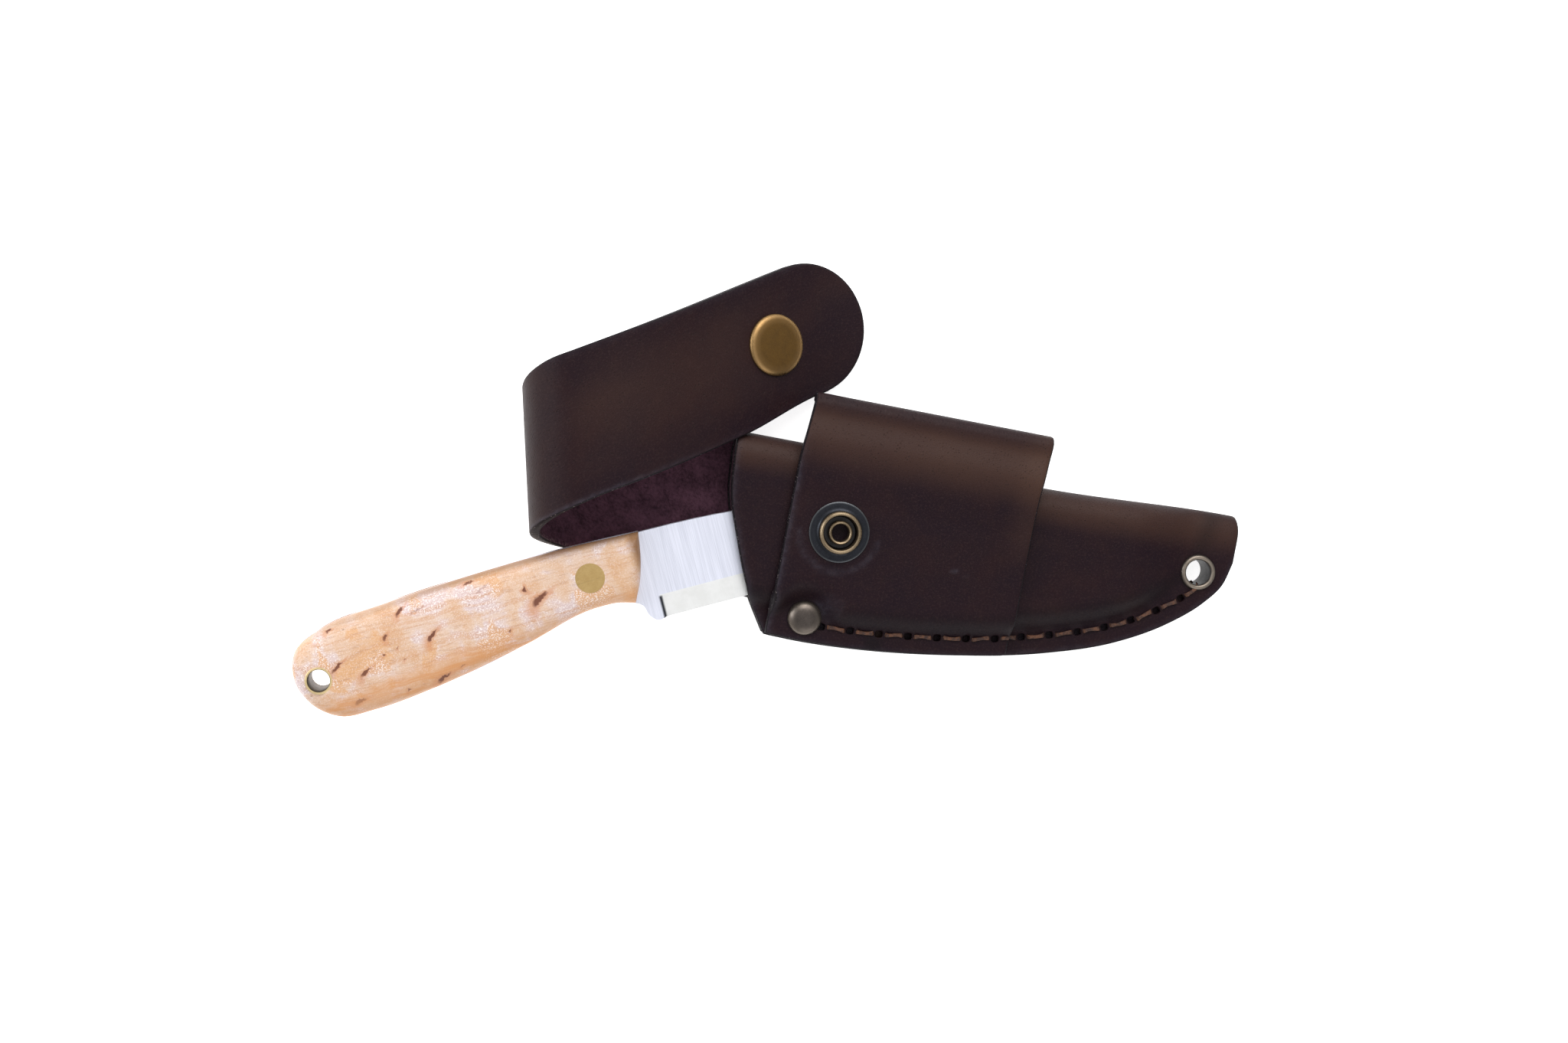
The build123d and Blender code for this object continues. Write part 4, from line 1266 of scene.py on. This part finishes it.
@dataclass
class Strap:
    """Retention strap: one strip from behind the sheath, bent over, with a rounded end for the cap."""

    leather: float = 2.6
    width: float = 33.15
    outer_r: float = 13.0
    fold: Pair = (-100.6, 2.8)
    heading: float = 13.2
    skew: float = 18.0
    fall: Pair = (-78.0, -12.0)
    tip_z: float = 2.2
    end_s: float = -25.8
    end_r: float = 15.2
    cap_s: float = -34.6
    border: float = 0.5
    belly: Pair = (1.9, 2.1)
    droop: float = 2.6
    droop_ends: Pair = (-4, 15)      # lengths where the upper border stops drooping past the bend
    droop_starts: Pair = (-45, -20)  # lengths where the droop sets in on the rear layer
    lift_ends: Pair = (-62, -38)     # lengths where the rear layer's lifted border comes back down
    opening: Pair = (0.6, 2.2)
    turn_limits: Pair = (13.0, 50.0)  # where the turn between the layers starts and ends
    columns: int = 34

    def __post_init__(self) -> None:
        """Works out the bend and the length of the front layer."""
        self.turn = math.radians(self.heading)
        self.rise = math.tan(math.radians(self.skew))
        self.bend_r = self.outer_r - self.leather / 2
        self.fold_s = self.fold[0] * math.cos(self.turn) + self.fold[1] * math.sin(self.turn)
        self.fold_q = -self.fold[0] * math.sin(self.turn) + self.fold[1] * math.cos(self.turn)
        self.bend_s = self.fold_s + self.outer_r
        self.half = self.width / 2 / math.cos(math.radians(self.skew)) - self.border
        self.layer_z = 2 * self.outer_r - self.leather / 2
        self.lengths = [self.bend_r * math.pi / 2]
        for k in range(400):
            slope = self.slope(self.bend_s + (k + 0.5) * 0.25)
            self.lengths.append(self.lengths[-1] + 0.25 * math.hypot(1, slope))

    def height(self, s: float) -> float:
        """Height of the front layer's middle at place s along the heading."""
        share = min(max((s - self.fall[0]) / (self.fall[1] - self.fall[0]), 0), 1)
        return self.layer_z - (self.layer_z - self.tip_z) * (1 - math.cos(math.pi * share)) / 2

    def slope(self, s: float) -> float:
        """Slope of the front layer at s."""
        span = self.fall[1] - self.fall[0]
        share = min(max((s - self.fall[0]) / span, 0), 1)
        return -(self.layer_z - self.tip_z) * math.pi * math.sin(math.pi * share) / 2 / span

    def length(self, s: float) -> float:
        """Length along the front layer from the fold to s."""
        index = max((s - self.bend_s) / 0.25, 0)
        low = int(min(index, len(self.lengths) - 2))
        return self.lengths[low] + (self.lengths[low + 1] - self.lengths[low]) * (index - low)

    def spot(self, s: float, z: float, length: float, w: float, face: tuple[float, float]) -> Spot:
        """Spot on the strip.

        Args:
            s: Place along the heading.
            z: Height of the middle of the leather.
            length: Place along the strip from the fold.
            w: Place along the ruling line from the strip's middle.
            face: Direction of the grain face, along the heading and up.

        Returns:
            The spot.
        """
        slack = self.belly[0] + self.belly[1] * (1 - ease(length, -4, 26))
        slack *= 1 - ease(length, 62, 84)
        q = self.fold_q + self.rise * length + w - slack * ease(-w, -self.half, self.half)
        drooped = self.droop * (1 - ease(length, *self.droop_ends)) * ease(length, *self.droop_starts)
        lifted = self.droop * (1 - ease(length, *self.lift_ends))
        q -= (drooped - lifted) * ease(w, -self.half * 0.2, self.half)
        at = Vector((s * math.cos(self.turn) - q * math.sin(self.turn),
                     s * math.sin(self.turn) + q * math.cos(self.turn), z))
        normal = Vector((face[0] * math.cos(self.turn), face[0] * math.sin(self.turn), face[1]))
        edge = ease(abs(w), self.half - 1.6, self.half)
        # lighter tones along the front layer and over the bend: partly wear, partly painted highlight
        warm = 0.30 * ease(length, 10, 30) * (1 - ease(length, 50, 90)) * (1 - ease(abs(w - 2), 0, 18))
        warm += 0.22 * (1 - ease(abs(length - 4), 0, 16))
        warm += 0.16 * max(noise.noise(Vector((length * 0.05, w * 0.11, 1.7))), 0)
        low_edge = ease(-w, self.half - 1.0, self.half)
        scuffed = 0.12 * edge + 0.45 * low_edge * (1 - ease(length, 10, 60))
        return Spot(at, (length, w), (warm, scuffed, 0.0), normal)

    def ruling(self, kind: str, value: float) -> list[Spot]:
        """Row of spots across the strip.

        Args:
            kind: "rear" for the layer on the table, "bend" or "front".
            value: Place s along the heading, or the angle in the bend in degrees.

        Returns:
            The row.
        """
        row: list[Spot] = []
        for j in range(self.columns + 1):
            w = self.half * math.sin(math.pi / 2 * (2 * j / self.columns - 1))
            if kind == "rear":
                length = -self.bend_r * math.pi / 2 - (value - self.bend_s)
                row.append(self.spot(value, self.leather / 2, length, w, (0, -1)))
            elif kind == "bend":
                turn = math.radians(value)
                row.append(self.spot(
                    self.bend_s - self.bend_r * math.sin(turn), self.outer_r - self.bend_r * math.cos(turn),
                    self.bend_r * (turn - math.pi / 2), w, (-math.sin(turn), -math.cos(turn))))
            else:
                s = self.bend_s + (self.reach(w) - self.bend_s) * value
                slope = self.slope(s)
                row.append(self.spot(s, self.height(s), self.length(s), w, (-slope, 1)))
        return row

    def reach(self, w: float) -> float:
        """Place s where the rounded end stops at place w across the strip."""
        length_end = self.length(self.end_s)
        skew = math.radians(self.skew)
        s = self.end_s + self.end_r - self.border
        while s > self.end_s - 12:
            off = self.rise * (self.length(s) - length_end) + w
            round_s = (s - self.end_s) / (self.end_r - self.border)
            round_q = off / (self.width / 2 - self.border)
            behind = (s - self.end_s) * math.cos(skew) + off * math.sin(skew) < 0
            if behind or round_s**2 + round_q**2 < 1:
                break
            s -= 0.02
        return s

    def rear_rows(self, end_x: float) -> list[list[Spot]]:
        """Rows of the rear layer from the wrap's edge at X to the split near the bend."""
        rows = [self.ruling("rear", self.bend_s + 3.0 + 4.0 * k) for k in range(8)]
        finish: list[list[Spot]] = []
        start = self.ruling("rear", self.bend_s + 36.0)
        for share in [k / 20 for k in range(1, 21)]:
            line: list[Spot] = []
            for spot in start:
                w = spot.sheet[1]
                step = (end_x - spot.at.x) * share
                s = spot.at.x * math.cos(self.turn) + spot.at.y * math.sin(self.turn)
                gain = step / (math.cos(self.turn) + math.sin(self.turn) * self.rise)
                length = -self.bend_r * math.pi / 2 - (s + gain - self.bend_s)
                line.append(self.spot(s + gain, self.leather / 2, length, w, (0, -1)))
            finish.append(line)
        return [*rows, start, *finish]

    def front_rows(self) -> list[list[Spot]]:
        """Rows from the split near the bend, round the bend and along the front layer to its end."""
        rows = [self.ruling("rear", self.bend_s + 3.0), self.ruling("rear", self.bend_s + 1.0)]
        rows += [self.ruling("bend", 180 * k / 30) for k in range(31)]
        shares = [0.03 + 0.97 * (1 - (1 - k / 44) ** 1.35) for k in range(45)]
        rows += [self.ruling("front", share) for share in shares]
        return rows

    def bend_span(self) -> tuple[Vector, Vector]:
        """Start and end of the turn between the two layers, measured round the bend and clear of the end."""
        forth, up = self.opening
        way = Vector((math.cos(self.turn) * forth, math.sin(self.turn) * forth, up))
        base = self.fold_s * forth
        start, end = (way * ((limit + base) / way.length_squared) for limit in self.turn_limits)
        return start, end

    def cap_frame(self) -> tuple[Vector, Vector]:
        """Middle of the leather under the cap and the direction the cap faces."""
        slope = self.slope(self.cap_s)
        spot = self.spot(self.cap_s, self.height(self.cap_s), self.length(self.cap_s), 0.0, (-slope, 1))
        return spot.at, spot.face.normalized()


@dataclass
class Sheath:
    """The leather parts and their fittings."""

    leather: LeatherFinish = field(default_factory=LeatherFinish)
    lace: LaceFinish = field(default_factory=LaceFinish)
    old_brass: MetalFinish = MetalFinish(
        "antique_brass", (0.165, 0.090, 0.026, 1), (0.085, 0.048, 0.018, 1), (0.34, 0.21, 0.09, 1), 0.36,
        0.6, 0.15)
    ring_brass: MetalFinish = MetalFinish(
        "worn_brass", (0.115, 0.078, 0.048, 1), (0.045, 0.032, 0.024, 1), (0.27, 0.205, 0.13, 1), 0.32,
        0.6, 0.15)
    black_steel: MetalFinish = MetalFinish(
        "blackened_steel", (0.026, 0.028, 0.034, 1), (0.014, 0.014, 0.018, 1), (0.18, 0.19, 0.20, 1), 0.30,
        0.6, 0.1)
    nickel: MetalFinish = MetalFinish(
        "aged_nickel_brass", (0.100, 0.084, 0.074, 1), (0.045, 0.037, 0.034, 1), (0.26, 0.22, 0.18, 1),
        0.33, 0.6, 0.15)

    def build(self) -> None:
        """Makes the pouch, wrap, strap, lacing and fittings."""
        leather = self.leather.make()
        brass, ring = self.old_brass.make(), self.ring_brass.make()
        black, nickel = self.black_steel.make(), self.nickel.make()
        pouch = Pouch()
        lacing = Lacing(pouch)
        wrap = Wrap(pouch)
        strap = Strap()
        wrap_x1 = highest("belt_wrap").x
        lacing.wrap_edge = wrap_x1
        holes = lacing.holes()

        draft = Draft()
        draft.slab(pouch.rows(), pouch.leather, pouch.border)
        pits = hole_cutter([h for h in holes if h.x > wrap_x1], pouch.seam_z - 1.9, pouch.seam_z + 3,
            lacing.hole)
        bore = Draft()
        self._bore(bore, middle("tip_eyelet"), 3.8, -2, 14)
        draft.piece("pouch", leather, Body.SHEATH, ["sheath_body"], 50, [pits, bore])

        draft = Draft()
        draft.slab(wrap.rows(), wrap.leather, wrap.border)
        top = pouch.seam_z + wrap.leather
        pits = hole_cutter([h for h in holes if h.x < wrap_x1], top - 1.9, top + 3, lacing.hole)
        draft.piece("wrap", leather, Body.SHEATH, ["belt_wrap"], 50, [pits])
        lacing.build(self.lace.make())
        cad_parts["welt"].data.materials[0] = leather
        self._strap(strap, leather)
        self._fittings(strap, pouch, wrap, brass, ring, black, nickel)

    def _bore(self, draft: Draft, at: Vector, radius: float, low: float, high: float) -> None:
        """Adds an upright cylinder to a cutter."""
        rows = []
        for z in (low, high):
            rows.append([
                draft.point(Vector((at.x + radius * math.cos(a), at.y + radius * math.sin(a), z)),
                            (0, 0, Side.CUT.value))
                for a in (2 * math.pi * k / 48 for k in range(48))
            ])
        draft.skin(rows, ring=True)
        draft.faces.append(tuple(reversed(rows[0])))
        draft.faces.append(tuple(rows[1]))

    def _strap(self, strap: Strap, leather: bpy.types.Material) -> None:
        """Makes the strap's rear layer and its bent front layer."""
        root_x = lowest("belt_wrap").x
        draft = Draft()
        draft.slab(strap.rear_rows(root_x - 0.15), strap.leather, strap.border, plain=(0, -1))
        rear = draft.piece("strap_rear", leather, None, ["strap_back"], 50)
        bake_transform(rear)
        draft = Draft()
        draft.slab(strap.front_rows(), strap.leather, strap.border, plain=(0,))
        front = draft.piece("strap_over", leather, None, ["strap_front"], 50)
        start, end = strap.bend_span()
        tuple(start * MM)
        tuple(end * MM)
        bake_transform(front)

    def _fittings(
        self, strap: Strap, pouch: Pouch, wrap: Wrap, brass: bpy.types.Material, ring: bpy.types.Material,
        black: bpy.types.Material, nickel: bpy.types.Material,
    ) -> None:
        """Makes the snap, the stud, the rivet and the tip eyelet."""
        # tones: rim and dim brighten rims, partly rubbed wear and partly painted highlight; dark marks
        # painted shade in hollows, bores and undersides
        plain, rim, dim, dark = (0, 0, 0), (0.9, 0, 0), (0.25, 0, 0), (0, 0, 0.95)
        at, up = strap.cap_frame()
        half = strap.leather / 2
        draft = Draft()
        draft.turn(
            [(0, 1.62), (2.5, 1.60), (5.0, 1.52), (6.4, 1.38), (7.15, 1.12), (7.6, 0.72), (7.75, 0.3),
            (7.65, 0.02),
             (7.2, -0.05), (2.6, -0.05), (2.6, -3.4), (0, -3.4)],
            [plain, plain, plain, dim, rim, rim, dim, plain, dark, dark, dark, dark],
            at + up * half, up)
        draft.piece("cap", brass, Body.STRAP_END, ["snap_cap"])
        draft = Draft()
        draft.turn(
            [(2.65, 0.05), (6.6, 0.05), (6.9, -0.35), (6.7, -0.9), (6.7, -3.2), (6.45, -3.6), (6.0, -3.6),
             (5.7, -3.3), (5.6, -1.1), (2.65, -0.9)],
            [plain, plain, dim, plain, plain, rim, rim, dim, dark, dark],
            at - up * half, up, closed=True)
        draft.piece("socket", brass, Body.STRAP_END, ["snap_socket"])

        stud = middle("snap_stud")
        foot = Vector((stud.x, stud.y, lowest("snap_stud").z))
        upright = Vector((0, 0, 1))
        draft = Draft()
        draft.turn(
            [(3.0, 0.02), (7.45, -0.02), (7.62, 0.12), (7.55, 0.34), (7.1, 0.52), (6.3, 0.42), (5.6, 0.50),
             (5.15, 0.95), (5.05, 1.6), (5.1, 1.95)],
            [plain, plain, dim, (0.5, 0, 0), plain, plain, plain, (0.15, 0, 0), plain, plain], foot, upright)
        draft.piece("stud_flange", black, Body.SHEATH)
        draft = Draft()
        draft.turn(
            [(5.05, 1.8), (5.32, 2.25), (5.34, 2.75), (5.1, 3.2), (4.75, 3.4), (4.4, 3.3), (4.22, 2.9),
            (4.15, 1.2),
             (3.9, 0.8), (2.7, 0.8)],
            [dim, plain, dim, rim, rim, rim, dim, dark, dark, dark], foot, upright)
        draft.piece("stud_ring", ring, Body.SHEATH, ["snap_stud"])
        draft = Draft()
        draft.turn(
            [(3.0, 0.9), (3.02, 2.4), (2.95, 2.75), (2.7, 2.98), (2.4, 2.9), (2.15, 2.55), (2.1, 1.6),
            (2.1, -2.0),
             (2.6, -2.2)],
            [dark, plain, dim, rim, rim, dim, (0, 0, 0.4), dark, dark], foot, upright)
        draft.turn([(0, -1.2), (2.3, -1.2)], [dark, dark], foot, upright)
        draft.piece("stud_tube", ring, Body.SHEATH, ["stud_eyelet"])

        rivet = middle("rivet_cap")
        seat = Vector((rivet.x, rivet.y, pouch.seam_z + wrap.leather))
        draft = Draft()
        draft.turn(
            [(0, 2.2), (1.2, 2.14), (2.3, 1.94), (3.2, 1.58), (3.9, 1.05), (4.25, 0.5), (4.3, 0.15),
            (4.15, -0.05),
             (1.0, -0.1)],
            [plain, plain, plain, dim, (0.4, 0, 0), (0.5, 0, 0), plain, dark, dark], seat, upright)
        draft.piece("rivet_dome", nickel, Body.SHEATH, ["rivet_cap"])
        draft = Draft()
        foot = Vector((rivet.x, rivet.y, 0))
        draft.turn(
            [(0, 0.25), (0.9, 0.2), (1.3, 0.06), (3.2, 0.05), (4.0, 0.2), (4.3, 0.55), (4.2, 0.9),
            (1.4, 0.95)],
            [dim, dark, plain, plain, dim, rim, plain, dark], foot, upright)
        draft.piece("rivet_foot", nickel, Body.SHEATH, ["rivet_post"])

        tip = middle("tip_eyelet")
        axis_foot = Vector((tip.x, tip.y, pouch.seam_z))
        draft = Draft()
        base = pouch.back_z - pouch.seam_z
        draft.turn(
            [(3.22, base - 0.5), (3.2, 0.2), (3.3, 0.62), (3.6, 0.86), (3.95, 0.88), (4.3, 0.68),
            (4.55, 0.32),
             (4.6, 0.02), (4.3, -0.05), (3.75, -0.1), (3.75, base + 0.1), (3.75, base - 0.5)],
            [dark, dark, (0.3, 0, 0.3), rim, rim, dim, plain, (0, 0, 0.3), dark, dark, dark, dark],
            axis_foot, upright, closed=True)
        draft.piece("tip_ring", nickel, Body.SHEATH, ["tip_eyelet"])
        draft = Draft()
        foot = Vector((tip.x, tip.y, pouch.back_z))
        draft.turn(
            [(3.25, -0.2), (3.5, -0.6), (3.9, -0.65), (4.35, -0.45), (4.55, -0.1), (4.5, 0.05), (3.4, 0.1)],
            [dim, rim, rim, dim, plain, dark, dark], foot, upright, closed=True)
        draft.piece("tip_washer", nickel, Body.SHEATH, ["eyelet_washer"])


# ------------------------------------------------------------------ knife
@dataclass
class Knife:
    """Knife with a ground blade, two birch scales, a brass bolt and a brass lanyard tube."""

    heading: float = 25.0
    bolt: Pair = (-12.2, 1.6)
    tube: Pair = (-82.1, -5.9)
    tube_r: float = 3.35
    fullness: float = 3.1
    rim: tuple[Pair, ...] = (
        (-2.8, -7.6), (-6.8, -6.5), (-12.0, -6.3), (-31.7, -10.7), (-56.0, -15.3), (-71.0, -16.7),
        (-79.6, -16.2),
        (-85.4, -11.8), (-88.2, -4.8), (-86.3, 2.1), (-79.8, 5.6), (-62.0, 8.0), (-40.0, 9.4), (-16.0, 9.9),
        (2.2, 9.4),
    )
    front: tuple[Pair, ...] = ((2.2, 9.4), (1.75, 6.2), (1.0, 2.2), (-0.6, -3.0), (-2.8, -7.6))
    brass: MetalFinish = MetalFinish(
        "yellow_brass", (0.560, 0.390, 0.165, 1), (0.400, 0.250, 0.090, 1), (0.86, 0.68, 0.38, 1), 0.36,
        0.45, 0.5)

    def __post_init__(self) -> None:
        """Places the knife's frame from the CAD bolt and blade."""
        angle = math.radians(self.heading)
        self.ahead = Vector((math.cos(angle), math.sin(angle), 0))
        self.aside = Vector((-math.sin(angle), math.cos(angle), 0))
        middle_bolt = middle("bolt_male")
        low, high = lowest("blade"), highest("blade")
        self.half_blade = (high.z - low.z) / 2
        self.scale_t = highest("scale_front").z - high.z
        origin = Vector((middle_bolt.x, middle_bolt.y,
            0)) - self.ahead * self.bolt[0] - self.aside * self.bolt[1]
        self.origin = Vector((origin.x, origin.y, (low.z + high.z) / 2))

    def at(self, x: float, y: float, z: float = 0.0) -> Vector:
        """Place in the row frame of a point of the knife's frame."""
        return self.origin + self.ahead * x + self.aside * y + Vector((0, 0, z))

    def build(self) -> None:
        """Makes the scales, the tube and dresses the CAD blade and bolts."""
        place = (self.origin.x, self.origin.y)
        birch = BirchFinish(self.heading, place).make()
        steel = SteelFinish(self.heading, place).make()
        brass = self.brass.make()
        for name, side in (("scale_front", 1), ("scale_back", -1)):
            self._scale(name, side, birch)
        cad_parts["blade"].data.materials[0] = steel
        for name in ("bolt_male", "bolt_female"):
            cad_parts[name].data.materials[0] = brass
        draft = Draft()
        top = self.half_blade + self.scale_t - 0.12
        # tones: rim brightens the tube's rims, partly rubbed wear and partly painted highlight; dark marks
        # painted shade in its bore
        rim, plain, dark = (0.8, 0, 0), (0, 0, 0), (0, 0, 0.9)
        draft.turn(
            [(2.72, -top + 0.3), (2.72, 0), (2.72, top - 0.3), (2.85, top - 0.05), (3.1, top),
            (3.35, top - 0.1),
             (3.4, top - 0.5), (3.38, 0), (3.4, 0.5 - top), (3.35, 0.1 - top), (3.1, -top),
             (2.85, 0.05 - top)],
            [dark, dark, dark, rim, rim, rim, plain, plain, plain, rim, rim, rim],
            self.at(*self.tube), Vector((0, 0, 1)), 72, closed=True)
        draft.piece("tube", brass, Body.KNIFE, ["lanyard_tube"])

    def _scale(self, name: str, side: int, birch: bpy.types.Material) -> None:
        """Makes one crowned scale with a bore for the lanyard tube."""
        rear = smooth_line(self.rim, 150)
        nose = smooth_line(self.front, 24)
        outline = rear + nose[1:-1]
        draft = Draft()
        shares = [1.0, 0.998, 0.992, 0.98, 0.962, 0.94, 0.91, 0.87, 0.82, 0.75, 0.66, 0.55, 0.42, 0.28,
            0.14, 0.0]
        rows: list[list[int]] = []
        for share in shares:
            ring: list[int] = []
            for point in outline:
                core_x = min(max(point.x, -77.0), -3.6)
                core = Vector((core_x, -5.2 + 6.4 * ease(core_x, -80.0, -4.0)))
                at = core + (point - core) * share
                crown = max(1 - share**self.fullness, 0.0) ** (1 / self.fullness)
                z = side * (self.half_blade + 0.02 + (self.scale_t - 0.02) * crown)
                ring.append(draft.point(self.at(at.x, at.y, z)))
            rows.append(ring)
        draft.skin(rows, ring=True)
        base = [draft.point(self.at(point.x, point.y, side * self.half_blade)) for point in outline]
        draft.skin([base, rows[0]], ring=True)
        draft.faces.append(tuple(base))
        cutter = Draft()
        rings = []
        for z in (-12.0, 12.0):
            rings.append([
                cutter.point(self.at(
                    self.tube[0] + self.tube_r * math.cos(a), self.tube[1] + self.tube_r * math.sin(a), z))
                for a in (2 * math.pi * k / 72 for k in range(72))
            ])
        cutter.skin(rings, ring=True)
        cutter.faces.append(tuple(reversed(rings[0])))
        cutter.faces.append(tuple(rings[1]))
        draft.piece("birch_" + name, birch, Body.KNIFE, [name], 55, [cutter])


# ------------------------------------------------------------------ studio
@dataclass
class Studio:
    """Pale floor, soft lights and the camera above the knife."""

    camera_lean: Vector = field(default_factory=lambda: Vector((-0.1217, 0.0395, 0.9918)))
    heading: float = 10.4
    distance: float = 550.0
    lens: float = 50.3
    aim: Pair = (-33.81, -3.61)
    aim_z: float = 9.0

    def build(self) -> None:
        """Makes floor, lights, world and camera."""
        self._floor()
        self._light("top_soft", Vector((-0.03, 0.62, 0.52)), 0.60, 5.4, (1.0, 0.985, 0.965))
        self._light("left_soft", Vector((-0.66, 0.05, 0.34)), 0.40, 2.4, (0.93, 0.96, 1.0))
        self._light("over_soft", Vector((0.09, -0.03, 0.78)), 0.45, 0.40, (0.97, 0.98, 1.0))
        self._light("low_soft", Vector((0.30, -0.66, 0.46)), 0.60, 1.6, (1.0, 1.0, 1.0))
        world = bpy.data.worlds.new("studio")
        world.use_nodes = True
        sky = world.node_tree.nodes["Background"]
        sky.inputs["Color"].default_value = (1, 1, 1, 1)
        sky.inputs["Strength"].default_value = 0.52
        bpy.context.scene.world = world
        bpy.context.scene.view_settings.view_transform = "Standard"
        self._camera()

    def _floor(self) -> None:
        """Wide floor just under the sheath."""
        mesh = bpy.data.meshes.new("floor")
        reach = 3.0
        mesh.from_pydata([(-reach, -reach, 0), (reach, -reach, 0), (reach, reach, 0), (-reach, reach, 0)], [],
                         [(0, 1, 2, 3)])
        floor = bpy.data.objects.new("floor", mesh)
        floor.location.z = -0.0004
        bpy.context.scene.collection.objects.link(floor)
        shader = Shader("pale_floor")
        tone = shader.noise(shader.place(), 9, 3, 0.5)
        shader.set(
            Base_Color=shader.mix(tone, (0.93, 0.93, 0.93, 1), (0.96, 0.96, 0.96, 1)),
            Roughness=0.9,
            Specular_IOR_Level=0.1,
            Emission_Color=(1, 1, 1, 1),
            Emission_Strength=0.75,
        )
        mesh.materials.append(shader.material)

    def _light(self, name: str, at: Vector, size: float, watts: float, colour: Sequence[float]) -> None:
        """Square area light that faces the knife.

        Args:
            name: Name of the light.
            at: Place in metres.
            size: Side of the square in metres.
            watts: Power.
            colour: Red, green and blue.
        """
        data = bpy.data.lights.new(name, "AREA")
        data.size = size
        data.energy = watts
        data.color = tuple(colour)
        light = bpy.data.objects.new(name, data)
        light.location = at
        light.rotation_euler = (Vector((self.aim[0] * MM, 0, 0)) - at).to_track_quat("-Z", "Y").to_euler()
        bpy.context.scene.collection.objects.link(light)

    def _camera(self) -> None:
        """Camera almost straight above, turned a little in plan."""
        data = bpy.data.cameras.new("camera")
        data.lens = self.lens
        data.sensor_width = 36.0
        data.clip_start = 0.01
        camera = bpy.data.objects.new("camera", data)
        back = self.camera_lean.normalized()
        turn = math.radians(self.heading)
        right = Vector((math.cos(turn), math.sin(turn), 0))
        right = (right - back * right.dot(back)).normalized()
        up = back.cross(right)
        target = Vector((self.aim[0], self.aim[1], self.aim_z)) * MM
        place = Matrix((right, up, back)).transposed().to_4x4()
        place.translation = target + back * (self.distance * MM)
        camera.matrix_world = place
        bpy.context.scene.collection.objects.link(camera)
        bpy.context.scene.camera = camera


def main() -> None:
    """Builds the scene."""
    logging.basicConfig(level=logging.INFO, format="%(name)s %(message)s")
    Studio().build()
    Sheath().build()
    Knife().build()
    LOG.info("boxes written")


if __name__ == "__main__":
    main()
